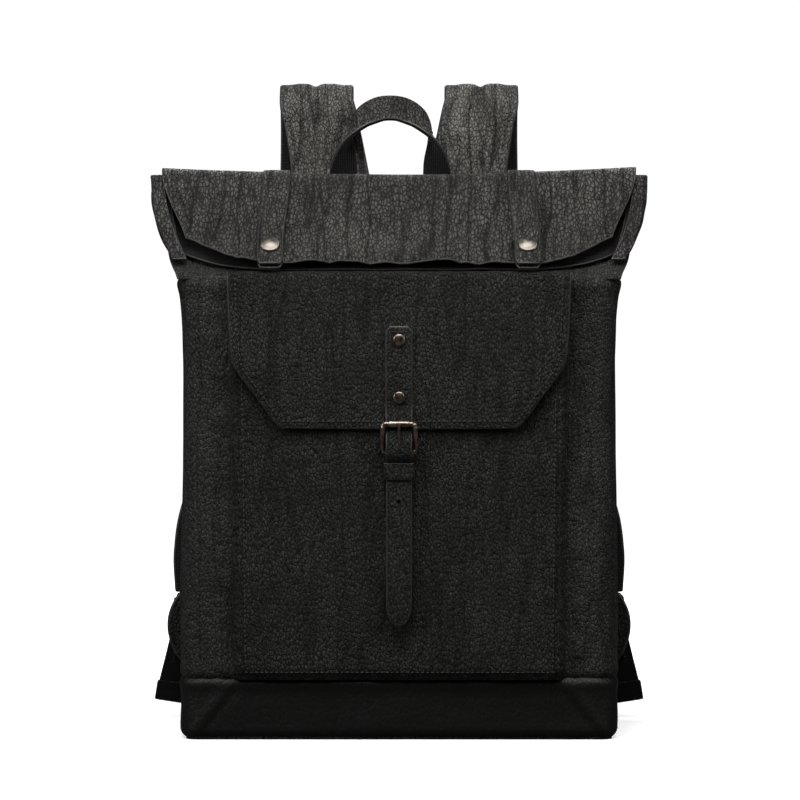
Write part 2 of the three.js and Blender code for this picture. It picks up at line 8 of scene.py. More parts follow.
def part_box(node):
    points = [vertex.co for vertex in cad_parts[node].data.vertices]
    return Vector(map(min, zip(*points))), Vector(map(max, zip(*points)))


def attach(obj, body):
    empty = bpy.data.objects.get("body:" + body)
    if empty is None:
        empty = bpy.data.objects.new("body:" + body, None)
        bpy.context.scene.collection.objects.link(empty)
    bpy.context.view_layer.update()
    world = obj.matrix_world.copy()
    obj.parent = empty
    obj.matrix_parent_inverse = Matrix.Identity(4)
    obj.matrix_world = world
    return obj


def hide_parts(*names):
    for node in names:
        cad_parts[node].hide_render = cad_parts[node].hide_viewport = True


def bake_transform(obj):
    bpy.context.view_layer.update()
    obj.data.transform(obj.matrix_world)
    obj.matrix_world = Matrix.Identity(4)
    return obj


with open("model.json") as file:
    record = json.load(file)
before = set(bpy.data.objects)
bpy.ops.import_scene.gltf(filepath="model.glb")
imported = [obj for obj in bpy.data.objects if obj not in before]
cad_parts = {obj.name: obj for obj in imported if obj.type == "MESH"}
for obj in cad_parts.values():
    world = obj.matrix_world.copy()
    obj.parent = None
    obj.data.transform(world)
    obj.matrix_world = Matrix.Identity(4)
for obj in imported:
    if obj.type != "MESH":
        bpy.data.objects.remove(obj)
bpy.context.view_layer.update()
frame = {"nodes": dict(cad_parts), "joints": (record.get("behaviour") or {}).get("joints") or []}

MM = 0.001
X, Y, Z = Vector((1, 0, 0)), Vector((0, 1, 0)), Vector((0, 0, 1))
SIDES = (("left", -1), ("right", 1))


# ---------- places taken from the frame ----------
def corners(node):
    low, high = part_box(node)
    return Vector(low) / MM, Vector(high) / MM


joint_at = {j["name"]: Vector(j["pos_m"]) / MM for j in frame["joints"]}
BAND_LOW, BAND_HIGH = corners("base_band")
PANEL_LOW, PANEL_HIGH = corners("front_panel")
POCKET_LOW, POCKET_HIGH = corners("pocket_panel")
FLAP_LOW, FLAP_HIGH = corners("pocket_flap")
TAIL_LOW, TAIL_HIGH = corners("strap_tail")
STRAP_TOP = corners("flap_strap")[1].z
KEEPER_LOW, KEEPER_HIGH = corners("strap_keeper")
BACK_Y = corners("back_panel")[1].y
FOLD = joint_at["roll_top_fold"]
FLAP_HINGE = joint_at["pocket_flap_lift"]
LOWER_BAR = joint_at["buckle_prong_lift"]
ROLLER = joint_at["buckle_roller_spin"]
ARCH = joint_at["shoulder_strap_right_swing"]
SHOULDER_Z = PANEL_HIGH.z
BASE_Z = BAND_HIGH.z
FRONT_Y = PANEL_LOW.y
LEATHER = 2.0
FOLD_OUTER_R, FOLD_INNER_R = 15.0, 3.0
ROLL_TILT, ROLL_INNER_TILT = 42.0, 44.5
ROLL_LENGTH = 74.0
CLOSURE_X, SNAP_AT = 92.0, 64.0


# ---------- small maths ----------
def mix(a, b, t):
    return a + (b - a) * t


def smooth(x, low=0.0, high=1.0):
    t = min(max((x - low) / (high - low), 0.0), 1.0)
    return t * t * (3 - 2 * t)


def hump(x, width):
    return math.exp(-((x / width) ** 2))


def wave(x, y=0.0, z=0.0, seed=0.0):
    return noise.noise(Vector((x + 13.7 * seed, y - 7.1 * seed, z + 3.3 * seed)))


def crease(x, y=0.0, z=0.0, seed=0.0):
    """Narrow valleys between soft swells, 0 at the bottom of a valley and about 1 between."""
    return min(abs(wave(x, y, z, seed)) * 3.0, 1.0)


def through(pairs, x):
    """A smooth curve through (x, value) pairs."""
    if x <= pairs[0][0]:
        return pairs[0][1]
    if x >= pairs[-1][0]:
        return pairs[-1][1]
    i = next(k for k in range(1, len(pairs)) if x <= pairs[k][0])

    def slope(k):
        a, b = pairs[max(k - 1, 0)], pairs[min(k + 1, len(pairs) - 1)]
        return (b[1] - a[1]) / (b[0] - a[0])

    (x0, y0), (x1, y1) = pairs[i - 1], pairs[i]
    h, t = x1 - x0, (x - x0) / (x1 - x0)
    start = (1 + 2 * t) * (1 - t) ** 2 * y0 + t * (1 - t) ** 2 * h * slope(i - 1)
    return start + t * t * (3 - 2 * t) * y1 + t * t * (t - 1) * h * slope(i)


class Path:
    """A smooth curve through points, measured along its length."""

    def __init__(self, points, closed=False, steps=24):
        points = [Vector(p) for p in points]
        count = len(points)
        spans = count if closed else count - 1

        def point(k):
            if closed:
                return points[k % count]
            if k < 0:
                return points[0] * 2 - points[1]
            return points[k] if k < count else points[-1] * 2 - points[-2]

        self.dots = []
        for i in range(spans):
            p0, p1, p2, p3 = (point(i + k) for k in (-1, 0, 1, 2))
            for s in range(steps):
                t = s / steps
                self.dots.append(
                    0.5
                    * (
                        2 * p1
                        + (p2 - p0) * t
                        + (2 * p0 - 5 * p1 + 4 * p2 - p3) * t * t
                        + (3 * p1 - p0 - 3 * p2 + p3) * t**3
                    )
                )
        self.dots.append(point(0) if closed else points[-1])
        self.run = [0.0]
        for a, b in zip(self.dots, self.dots[1:]):
            self.run.append(self.run[-1] + (b - a).length)
        self.length = self.run[-1]

    def at(self, v):
        """(point, direction) at the fraction v of the length."""
        want = min(max(v, 0.0), 1.0) * self.length
        low, high = 0, len(self.run) - 2
        while low < high:
            middle = (low + high + 1) // 2
            if self.run[middle] <= want:
                low = middle
            else:
                high = middle - 1
        a, b = self.dots[low], self.dots[low + 1]
        part = (want - self.run[low]) / max(self.run[low + 1] - self.run[low], 1e-9)
        return a.lerp(b, part), (b - a).normalized()


# ---------- materials ----------
def material(name, color, roughness, metallic=0.0, specular=0.5):
    made = bpy.data.materials.new(name)
    made.use_nodes = True
    nodes, links = made.node_tree.nodes, made.node_tree.links
    shader = nodes["Principled BSDF"]
    shader.inputs["Base Color"].default_value = (*color, 1)
    shader.inputs["Roughness"].default_value = roughness
    shader.inputs["Metallic"].default_value = metallic
    shader.inputs["Specular IOR Level"].default_value = specular

    def node(kind, inputs=(), **settings):
        n = nodes.new(kind)
        for key, value in settings.items():
            setattr(n, key, value)
        for key, value in dict(inputs).items():
            if isinstance(value, bpy.types.NodeSocket):
                links.new(value, n.inputs[key])
            else:
                n.inputs[key].default_value = value
        return n

    return made, shader, node, links


def place_in(node, scale=(1, 1, 1)):
    coordinates = node("ShaderNodeTexCoord").outputs["Object"]
    return node("ShaderNodeMapping", {"Vector": coordinates, "Scale": scale}).outputs["Vector"]


def speckle(node, at, scale, detail):
    """A cloudy noise between 0 and 1."""
    return node("ShaderNodeTexNoise", {"Vector": at, "Scale": scale, "Detail": detail}).outputs["Fac"]


def combine(node, operation, a, b=0.0):
    return node("ShaderNodeMath", {0: a, 1: b}, operation=operation).outputs[0]


def mapped(node, value, low, high, start=0.0, end=1.0):
    """The value's range from start to end, laid out from low to high."""
    limits = {"From Min": start, "From Max": end, "To Min": low, "To Max": high}
    return node("ShaderNodeMapRange", {"Value": value, **limits}).outputs["Result"]


def ramp(node, factor, stops):
    made = node("ShaderNodeValToRGB", {"Fac": factor})
    elements = made.color_ramp.elements
    for element, (position, color) in zip(elements, stops):
        element.position = position
        element.color = (*color, 1) if isinstance(color, tuple) else (color, color, color, 1)
    return made.outputs["Color"]


def sums(node, parts):
    """parts are (socket, weight): their weighted sum."""
    total = None
    for socket, weight in parts:
        scaled = combine(node, "MULTIPLY", socket, weight)
        total = combine(node, "ADD", total, scaled) if total else scaled
    return total


def bumped(node, links, shader, height, strength, depth):
    bump = node("ShaderNodeBump", {"Height": height, "Strength": strength, "Distance": depth})
    links.new(bump.outputs["Normal"], shader.inputs["Normal"])


def coloured(node, links, shader, level, stops):
    links.new(ramp(node, level, stops), shader.inputs["Base Color"])


def leather_material(name, dark, light, roughness, pebble, wrinkle, depth, sloping=False, cell=0.0024):
    """Pebbled leather: small cells parted by thin creases, drawn out upright by longer wrinkles.
    cell is the size of a pebble in metres; sloping leather draws them out along Y too."""
    made, shader, node, links = material(name, dark, 0.5, specular=0.28)
    at = place_in(node)
    drift = node("ShaderNodeTexNoise", {"Vector": at, "Scale": 70.0, "Detail": 2.0}).outputs["Color"]
    shift = node("ShaderNodeVectorMath", {0: drift, 3: 0.0022}, operation="SCALE").outputs[0]
    bent = node("ShaderNodeVectorMath", {0: at, 1: shift}, operation="ADD").outputs[0]

    def drawn(upright):
        scale = (1, upright if sloping else 1, upright)
        return node("ShaderNodeMapping", {"Vector": bent, "Scale": scale}).outputs["Vector"]

    def cells(scale, upright, feature):
        spread = {"Vector": drawn(upright), "Scale": scale}
        return node("ShaderNodeTexVoronoi", spread, feature=feature).outputs["Distance"]

    def lines(scale, upright, width, detail=3.0):
        """Upright creases: 0 in a crease, 1 away from it."""
        off = combine(node, "SUBTRACT", speckle(node, drawn(upright), scale, detail), 0.5)
        return ramp(node, combine(node, "ABSOLUTE", off), [(0.0, 0.0), (width, 1.0)])

    domes = combine(node, "POWER", cells(1 / cell, 0.55, "F1"), 1.6)
    plates = ramp(node, cells(1 / cell, 0.55, "DISTANCE_TO_EDGE"), [(0.02, 0.0), (0.17, 1.0)])
    grain = ramp(node, cells(2.3 / cell, 0.7, "DISTANCE_TO_EDGE"), [(0.0, 0.0), (0.22, 1.0)])
    long_lines = lines(46.0, 0.12, 0.035, 2.0)
    short_lines = lines(115.0, 0.24, 0.06)
    broad = speckle(node, at, 26.0, 3.0)
    # each mask with its share of the height, and how far it darkens the colour: painted shade in the
    # creases and the cracks between the pebbles
    masks = (
        (plates, 0.5 * pebble, 0.85 * pebble),
        (grain, 0.16 * pebble, 0.4 * pebble),
        (long_lines, 0.8 * wrinkle, 0.62 * wrinkle),
        (short_lines, 0.45 * wrinkle, 0.5 * wrinkle),
    )
    raised = [(domes, -0.8 * pebble), *((mask, height) for mask, height, _ in masks), (broad, 1.4)]
    bumped(node, links, shader, sums(node, raised), 1.0, depth)
    # a random cloudy tone, then darkened in every crease and crack by the masks: painted shade
    level = ramp(node, broad, [(0.3, 0.5), (0.7, 1.0)])
    for mask, _, weight in masks:
        level = combine(node, "MULTIPLY", level, mapped(node, mask, max(0.0, 1 - weight), 1.0))
    coloured(node, links, shader, level, [(0.0, dark), (0.85, light)])
    links.new(mapped(node, level, roughness[1], roughness[0]), shader.inputs["Roughness"])
    return made


def woven_material(name, dark, light, pitch, depth=0.0003):
    """A plain weave: two sets of ribs that pass over each other."""
    made, shader, node, links = material(name, dark, 0.92, specular=0.08)
    at = place_in(node)
    spread = {"Vector": at, "Scale": 1 / pitch / 3.2, "Distortion": 0.4, "Detail": 1.0}
    ribs = [node("ShaderNodeTexWave", spread, bands_direction=way).outputs["Fac"] for way in ("X", "Z")]
    both = sums(node, [(combine(node, "MULTIPLY", *ribs), 1.0), (speckle(node, at, 900.0, 3.0), 0.6)])
    bumped(node, links, shader, both, 0.8, depth)
    coloured(node, links, shader, both, [(0.2, dark), (1.1, light)])
    shader.inputs["Sheen Weight"].default_value = 0.15
    shader.inputs["Sheen Roughness"].default_value = 0.5
    return made


def metal_material(name, dark, light, roughness):
    """Worn plating: stains in its colour and gloss, and fine scratches."""
    made, shader, node, links = material(name, dark, roughness, metallic=1.0)
    stains = speckle(node, place_in(node), 240.0, 5.0)
    scratch = speckle(node, place_in(node, (1, 1, 6)), 900.0, 3.0)
    coloured(node, links, shader, stains, [(0.35, dark), (0.68, light)])
    rough = mapped(node, stains, roughness - 0.06, roughness + 0.12, 0.3, 0.7)
    links.new(rough, shader.inputs["Roughness"])
    bumped(node, links, shader, scratch, 0.25, 0.00004)
    return made


def plain_material(name, dark, light, roughness, scale, depth):
    """Moulded plastic, foam, board and thread: one colour that varies a little, and a fine surface."""
    made, shader, node, links = material(name, dark, roughness)
    spots = speckle(node, place_in(node), scale, 4.0)
    coloured(node, links, shader, spots, [(0.3, dark), (0.7, light)])
    bumped(node, links, shader, spots, 0.6, depth)
    return made


leather = leather_material(
    "leather", (0.0008, 0.0008, 0.0007), (0.034, 0.034, 0.029),
    roughness=(0.31, 0.8), pebble=1.1, wrinkle=1.0, depth=0.0012, cell=0.0018,
)
# softer grain, and a colour ramp about two and a half times lighter than leather's: painted light on the
# roll, its gussets and closure straps, and the handle face
soft_hide_painted_light = leather_material(
    "soft_hide_painted_light", (0.0009, 0.0008, 0.0007), (0.085, 0.081, 0.073),
    roughness=(0.33, 0.8), pebble=1.0, wrinkle=1.2, depth=0.0012, sloping=True, cell=0.0023,
)
body_leather = leather_material(
    "body_leather", (0.0012, 0.0012, 0.001), (0.034, 0.034, 0.0295),
    roughness=(0.32, 0.72), pebble=0.75, wrinkle=0.9, depth=0.001, cell=0.0019,
)
# a colour ramp about five times lighter than leather's: painted light on the shoulder straps
strap_hide_painted_light = leather_material(
    "strap_hide_painted_light", (0.0018, 0.0017, 0.0015), (0.17, 0.16, 0.145),
    roughness=(0.36, 0.8), pebble=0.85, wrinkle=1.1, depth=0.001, sloping=True, cell=0.0019,
)
# smooth grain, and a colour ramp about eight times darker than leather's: painted shade on the base band
smooth_hide_painted_shade = leather_material(
    "smooth_hide_painted_shade", (0.0006, 0.0006, 0.0005), (0.0042, 0.0042, 0.0036),
    roughness=(0.42, 0.62), pebble=0.3, wrinkle=0.35, depth=0.0006,
)
edge = plain_material("leather_edge", (0.011, 0.011, 0.010), (0.035, 0.033, 0.029), 0.42, 700.0, 0.0001)
raw_edge = plain_material("raw_edge", (0.012, 0.0115, 0.0105), (0.05, 0.048, 0.043), 0.7, 900.0, 0.0002)
lining = woven_material("lining", (0.002, 0.002, 0.002), (0.007, 0.007, 0.0068), 0.0009)
webbing = woven_material("webbing", (0.0012, 0.0012, 0.0012), (0.004, 0.004, 0.0038), 0.0016, 0.0005)
mesh_fabric = woven_material("mesh_fabric", (0.006, 0.006, 0.006), (0.02, 0.02, 0.02), 0.0022, 0.0006)
thread = plain_material("thread", (0.012, 0.012, 0.011), (0.03, 0.03, 0.028), 0.55, 2500.0, 0.00006)
foam = plain_material("foam", (0.12, 0.12, 0.125), (0.2, 0.2, 0.21), 0.95, 1500.0, 0.0004)
board = plain_material("board", (0.20, 0.17, 0.13), (0.32, 0.28, 0.21), 0.9, 400.0, 0.0002)
plastic = plain_material("plastic", (0.010, 0.010, 0.010), (0.018, 0.018, 0.018), 0.38, 1200.0, 0.00008)
gunmetal = metal_material("gunmetal", (0.15, 0.115, 0.09), (0.36, 0.29, 0.23), 0.3)
nickel = metal_material("nickel", (0.11, 0.098, 0.085), (0.2, 0.18, 0.157), 0.36)


# ---------- meshes ----------
def mesh_object(name, vertices, faces, materials, indices=None):
    mesh = bpy.data.meshes.new(name)
    mesh.from_pydata([tuple(Vector(p) * MM) for p in vertices], [], faces)
    for m in materials:
        mesh.materials.append(m)
    if indices:
        mesh.polygons.foreach_set("material_index", indices)
    mesh.polygons.foreach_set("use_smooth", [True] * len(mesh.polygons))
    mesh.update()
    made = bpy.data.objects.new(name, mesh)
    bpy.context.collection.objects.link(made)
    return made


def blended(piece, fixed, moving, start, end):
    """Bakes the piece's transform into its mesh; the piece does not bend. fixed and moving, two bodies, and
    start and end, two points in millimetres, are not used.
    """
    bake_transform(piece)


def circle(centre, across, up, radius, count):
    turn = 2 * math.pi / count
    return [centre + (across * math.cos(k * turn) + up * math.sin(k * turn)) * radius for k in range(count)]


def rounded_corners(half_x, half_y, r, steps):
    """The points of a rounded rectangle round the origin, with steps to a corner."""
    for sx, sy, start in ((1, 1, 0), (-1, 1, 90), (-1, -1, 180), (1, -1, 270)):
        for k in range(steps + 1):
            angle = math.radians(start + 90 / steps * k)
            yield sx * (half_x - r) + r * math.cos(angle), sy * (half_y - r) + r * math.sin(angle)


def belt(low, high, sides):
    """The faces between two rings of vertices, whose first ones are low and high."""
    pairs = ((i, (i + 1) % sides) for i in range(sides))
    return [(low + i, low + n, high + n, high + i) for i, n in pairs]


class Sheet:
    """A sheet with a middle surface place(u, v), a thickness and a half-round edge.
    A thick wrinkled sheet has a core, the surface without wrinkles, that says which way its faces lie."""

    def __init__(self, place, thickness=LEATHER, closed=False, core=None):
        self.place = place
        self.core = core
        self.thick = thickness if callable(thickness) else lambda u, v: thickness
        self.closed = closed

    def surface(self, u, v, step=2e-3):
        """(a point on the outer face, the way out of it) near (u, v)."""
        u0, u1 = (u - step, u + step) if self.closed else (max(u - step, 0), min(u + step, 1))
        v0, v1 = max(v - step, 0), min(v + step, 1)
        across = self.place(u1, v) - self.place(u0, v)
        up = self.place(u, v1) - self.place(u, v0)
        out = across.cross(up).normalized()
        return self.place(u, v) + out * self.thick(u, v) / 2, out

    def build(self, name, across, along, body, face=None, back=None, rim=None, rounds=4):
        columns = across if self.closed else across + 1

        def grid(place):
            return [[place(i / across, j / along) for i in range(columns)] for j in range(along + 1)]

        points = grid(self.place)
        shape = grid(self.core) if self.core else points

        def neighbour(j, i):
            return shape[j][i % columns] if self.closed else shape[j][min(max(i, 0), columns - 1)]

        vertices, outs, frames = [], [], []
        for j in range(along + 1):
            for i in range(columns):
                du = neighbour(j, i + 1) - neighbour(j, i - 1)
                dv = shape[min(j + 1, along)][i] - shape[max(j - 1, 0)][i]
                out = du.cross(dv).normalized()
                outs.append(out)
                frames.append((du.normalized(), dv.normalized()))
                vertices.append(points[j][i] + out * self.thick(i / across, j / along) / 2)
        count = len(vertices)
        vertices += [
            points[j][i] - outs[j * columns + i] * self.thick(i / across, j / along) / 2
            for j in range(along + 1)
            for i in range(columns)
        ]
        faces, indices = [], []
        for j in range(along):
            for i in range(across):
                a, b = j * columns + i, j * columns + (i + 1) % columns
                quad = (a, b, b + columns, a + columns)
                faces.append(quad)
                faces.append(tuple(count + k for k in reversed(quad)))
                indices += [0, 1]
        bottom = [(0, i) for i in range(columns)]
        top = [(along, i) for i in reversed(range(columns))]
        if self.closed:
            loops = [bottom, top]
        else:
            right = [(j, across) for j in range(1, along)]
            left = [(j, 0) for j in reversed(range(1, along))]
            loops = [bottom + right + top + left]
        for loop in loops:
            rings = [[j * columns + i for j, i in loop]]
            for k in range(1, rounds):
                angle = math.pi * (0.5 - k / rounds)
                ring = []
                for j, i in loop:
                    number = j * columns + i
                    du, dv = frames[number]
                    away = Vector((0, 0, 0))
                    if j in (0, along):
                        away += dv if j else -dv
                    if not self.closed and i in (0, across):
                        away += du if i else -du
                    out = outs[number]
                    away = (away - out * away.dot(out)).normalized()
                    half = self.thick(i / across, j / along) / 2
                    ring.append(len(vertices))
                    reach = min(half, LEATHER)
                    vertices.append(
                        points[j][i] + away * reach * math.cos(angle) + out * half * math.sin(angle)
                    )
                rings.append(ring)
            rings.append([count + j * columns + i for j, i in loop])
            for one, two in zip(rings, rings[1:]):
                for k in range(len(loop)):
                    n = (k + 1) % len(loop)
                    faces.append((one[k], two[k], two[n], one[n]))
                    indices.append(2)
        face = face or leather
        made = mesh_object(name, vertices, faces, [face, back or face, rim or edge], indices)
        if body:
            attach(made, body)
        return made


def tube(name, path, radius, body, finish, sides=14, steps=60, closed=False):
    """A round bar along a path; radius is a number or a function of the fraction along."""
    radius_at = radius if callable(radius) else lambda v: radius
    rows = steps if closed else steps + 1
    vertices, faces = [], []
    across = None
    for j in range(rows):
        point, along = path.at(j / steps)
        if across is None:
            across = along.orthogonal().normalized()
        across = (across - along * across.dot(along)).normalized()
        other = along.cross(across)
        for i in range(sides):
            angle = 2 * math.pi * i / sides
            ring = across * math.cos(angle) + other * math.sin(angle)
            vertices.append(point + ring * radius_at(j / steps))
    for j in range(steps):
        faces += belt(j * sides, (j + 1) % rows * sides, sides)
    if not closed:
        faces.append(tuple(reversed(range(sides))))
        faces.append(tuple(range(steps * sides, (steps + 1) * sides)))
    made = mesh_object(name, vertices, faces, [finish])
    if body:
        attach(made, body)
    return made


def hoop(name, points, radius, body, finish, sides, steps):
    """A round bar along a closed loop of points."""
    return tube(name, Path(points, closed=True, steps=6), radius, body, finish, sides, steps, closed=True)


def turned(name, profile, at, axis, body, finish, sides=48):
    """A profile of (radius, height) turned round an axis; it starts and ends on the axis."""
    turn = Z.rotation_difference(axis)
    vertices, faces = [], []
    inner = profile[1:-1]
    for r, h in inner:
        for i in range(sides):
            angle = 2 * math.pi * i / sides
            vertices.append(turn @ Vector((r * math.cos(angle), r * math.sin(angle), h)) + at)
    for j in range(len(inner) - 1):
        faces += belt(j * sides, (j + 1) * sides, sides)
    for (r, h), row, flip in ((profile[0], 0, True), (profile[-1], len(inner) - 1, False)):
        centre = len(vertices)
        vertices.append(turn @ Vector((0, 0, h)) + at)
        for i in range(sides):
            a, b = row * sides + i, row * sides + (i + 1) % sides
            faces.append((centre, b, a) if flip else (centre, a, b))
    made = mesh_object(name, vertices, faces, [finish])
    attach(made, body)
    return made


def rounded(radius, height, corner=0.6, dome=0.0, steps=5):
    """The profile of a button: flat below, a rounded edge, and a dome above."""
    profile = [(0, 0), (radius - 0.3, 0), (radius, 0.3)]
    for k in range(steps + 1):
        angle = math.pi / 2 * k / steps
        r = radius - corner + corner * math.cos(angle)
        profile.append((r, height - corner + corner * math.sin(angle)))
    for k in range(1, steps + 1):
        r = (radius - corner) * (1 - k / steps)
        profile.append((r, height + dome * (1 - (r / (radius - corner)) ** 2)))
    return profile


def stitches(name, sheet, route, body, pitch=3.6, length=2.6, radius=0.42, lift=0.12):
    """A row of thread along a route of (u, v) on a sheet's outer face."""
    fine = []
    for (u0, v0), (u1, v1) in zip(route, route[1:]):
        steps = 40
        fine += [(mix(u0, u1, k / steps), mix(v0, v1, k / steps)) for k in range(steps)]
    fine.append(route[-1])
    spots = [sheet.surface(u, v) for u, v in fine]
    run = [0.0]
    for (a, _), (b, _) in zip(spots, spots[1:]):
        run.append(run[-1] + (b - a).length)
    vertices, faces = [], []
    at, k = pitch / 2, 0
    while at < run[-1]:
        while k < len(run) - 2 and run[k + 1] < at:
            k += 1
        part = (at - run[k]) / max(run[k + 1] - run[k], 1e-9)
        point = spots[k][0].lerp(spots[k + 1][0], part)
        out = spots[k][1]
        along = (spots[k + 1][0] - spots[k][0]).normalized()
        sideways = out.cross(along).normalized()
        first = len(vertices)
        for reach, size in ((-0.5, 0.45), (-0.3, 1.0), (0.3, 1.0), (0.5, 0.45)):
            bow = lift + radius * 0.5 * (1 - (2 * reach) ** 2)
            centre = point + along * reach * length + out * bow
            for i in range(6):
                angle = math.pi * i / 3
                ring = sideways * math.cos(angle) + out * math.sin(angle)
                vertices.append(centre + ring * radius * size)
        for j in range(3):
            for i in range(6):
                n = (i + 1) % 6
                low = first + j * 6
                faces.append((low + i, low + 6 + i, low + 6 + n, low + n))
        faces.append(tuple(first + i for i in range(6)))
        faces.append(tuple(first + 18 + i for i in reversed(range(6))))
        at += pitch
    made = mesh_object(name, vertices, faces, [thread])
    if body:
        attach(made, body)
    return made


def punch(piece, at, axis, radius, length, stretch=1.0):
    """Cuts a round or oval hole through a piece."""
    turn = Z.rotation_difference(axis)
    sides, vertices = 24, []
    for h in (-length / 2, length / 2):
        for i in range(sides):
            angle = 2 * math.pi * i / sides
            spot = Vector((radius * math.cos(angle), radius * stretch * math.sin(angle), h))
            vertices.append(turn @ spot + at)
    faces = [tuple(reversed(range(sides))), tuple(range(sides, 2 * sides)), *belt(0, sides, sides)]
    cutter = mesh_object("cutter", vertices, faces, [edge])
    cut = piece.modifiers.new("cut", "BOOLEAN")
    cut.operation, cut.object, cut.solver = "DIFFERENCE", cutter, "EXACT"
    result = bpy.data.meshes.new_from_object(piece.evaluated_get(bpy.context.evaluated_depsgraph_get()))
    piece.modifiers.remove(cut)
    piece.data = result
    bpy.data.objects.remove(cutter)


# ---------- body ----------
CORNER_R = 15.0
NOMINAL_HALF, BASE_HALF = 155, 156.2
SHELL_TOP = SHOULDER_Z + 1.2
WIDTH_AT = [
    (0, 155.0),
    (44, 156.0),
    (100, 155.6),
    (170, 154.6),
    (230, 153.8),
    (270, 153.6),
    (300, 155.2),
    (332, 158.5),
]


def ring_point(u, half, front, back, r):
    """A point and outward direction round a rounded rectangle, from the front's left end towards +X."""
    flat_x, flat_y, arc = 2 * (NOMINAL_HALF - r), BACK_Y - FRONT_Y - 2 * r, math.pi / 2 * r
    at = (u % 1.0) * (2 * flat_x + 2 * flat_y + 4 * arc)
    legs = (
        (flat_x, (-half + r, front), (half - r, front), (half - r, front + r), -90),
        (flat_y, (half, front + r), (half, back - r), (half - r, back - r), 0),
        (flat_x, (half - r, back), (-half + r, back), (-half + r, back - r), 90),
        (flat_y, (-half, back - r), (-half, front + r), (-half + r, front + r), 180),
    )
    for length, start, end, centre, first in legs:
        if at <= length:
            t = at / length
            angle = math.radians(first)
            x, y = mix(start[0], end[0], t), mix(start[1], end[1], t)
            return x, y, math.cos(angle), math.sin(angle)
        at -= length
        if at <= arc:
            angle = math.radians(first + 90 * at / arc)
            c, s = math.cos(angle), math.sin(angle)
            return centre[0] + r * c, centre[1] + r * s, c, s
        at -= arc
    return -half + r, front, 0.0, -1.0


def shell_place(u, v):
    z = mix(BASE_Z - 0.4, SHELL_TOP, v)
    x, y, nx, ny = ring_point(u, through(WIDTH_AT, z), FRONT_Y, BACK_Y, CORNER_R)
    top, low = SHELL_TOP - z, z - BASE_Z + 0.4
    out = -1.7 * hump(top, 2.2) - 1.7 * hump(low, 2.2) + 0.9 * hump(top - 6, 5) + 0.7 * hump(low - 6, 5)
    out += 2.2 * abs(nx) * hump(y, 45) * smooth(low, 0, 60) * smooth(top, 0, 60)
    out += 0.9 * wave(x * 0.022, y * 0.022, z * 0.011, 1)
    out -= 0.55 * (1 - crease(x * 0.045, y * 0.045, z * 0.013, 2))
    beside = hump(abs(x) - 129, 7) * smooth(-ny, 0.2, 0.9)
    out += 1.1 * beside * wave(x * 0.09, 0, z * 0.12, 34)
    near = math.exp(-top / 16) + math.exp(-low / 14)
    out += 0.8 * near * wave(x * 0.12, y * 0.12, z * 0.03, 3)
    return Vector((x + nx * out, y + ny * out, z))


def add_shell():
    shell = Sheet(shell_place, 1.8, closed=True)
    made = shell.build("body_shell", 380, 170, "body", face=body_leather)
    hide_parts("front_panel", "back_panel", "side_panel_left", "side_panel_right")


def base_place(u, v):
    round_r, round_v = 7.0, 0.22
    lowest, highest = 0.9, BASE_Z + 0.3
    if v < round_v:
        angle = math.pi / 2 * v / round_v
        inset, z = round_r * (1 - math.sin(angle)), round_r * (1 - math.cos(angle)) + lowest
    else:
        inset, z = 0.0, mix(round_r + lowest, highest, (v - round_v) / (1 - round_v))
    x, y, nx, ny = ring_point(u, BASE_HALF, BAND_LOW.y + 0.6, BAND_HIGH.y - 0.6, CORNER_R)
    top = highest - z
    out = -inset - 1.6 * hump(top, 1.8) + 0.8 * hump(top - 5, 4)
    out += 0.6 * wave(x * 0.03, y * 0.03, z * 0.05, 4)
    out += 0.45 * math.exp(-top / 7) * wave(x * 0.14, y * 0.14, 0, 5)
    # a soft fold runs down and out to each bottom corner
    reach = abs(x) - 119
    if ny < -0.2 and reach > -8:
        off = (z - (BASE_Z - 5 - reach * 1.3)) * 0.6
        strength = smooth(reach, -8, 8) * smooth(abs(ny), 0.2, 0.9)
        out += strength * (1.1 * hump(off - 1.5, 4.0) - 0.9 * hump(off + 3.2, 2.4))
    return Vector((x + nx * out, y + ny * out, z))


def add_base():
    band = Sheet(base_place, 1.8, closed=True)
    made = band.build("base_leather", 300, 40, "body", face=smooth_hide_painted_shade)
    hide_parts("base_band")


# ---------- throat and roll top ----------
def tilted(degrees):
    angle = math.radians(degrees)
    return Vector((0, -math.cos(angle), math.sin(angle))), Vector((0, -math.sin(angle), -math.cos(angle)))


def on_roll(x, offset, distance, degrees=ROLL_TILT):
    out, down = tilted(degrees)
    return Vector((x, FOLD.y, FOLD.z)) + out * offset + down * distance


def to_fold(point, r):
    away = point - Vector((0, FOLD.y, FOLD.z))
    angle = math.atan2(away.z, away.y) + math.acos(r / away.length)
    return Vector((0, FOLD.y + r * math.cos(angle), FOLD.z + r * math.sin(angle))), angle


BACK_SEAM = Vector((0, BACK_Y - 1.0, SHELL_TOP))
BACK_TANGENT, BACK_ANGLE = to_fold(BACK_SEAM, FOLD_OUTER_R)
FRONT_SEAM = Vector((0, FRONT_Y + 1.0, SHELL_TOP))
FRONT_TANGENT, FRONT_ANGLE = to_fold(FRONT_SEAM, FOLD_INNER_R)
BACK_LENGTH = (BACK_TANGENT - BACK_SEAM).length
ARC_ANGLE = math.radians(180 - ROLL_TILT) - BACK_ANGLE
ARC_LENGTH = FOLD_OUTER_R * ARC_ANGLE
ROLL_START = BACK_LENGTH + ARC_LENGTH


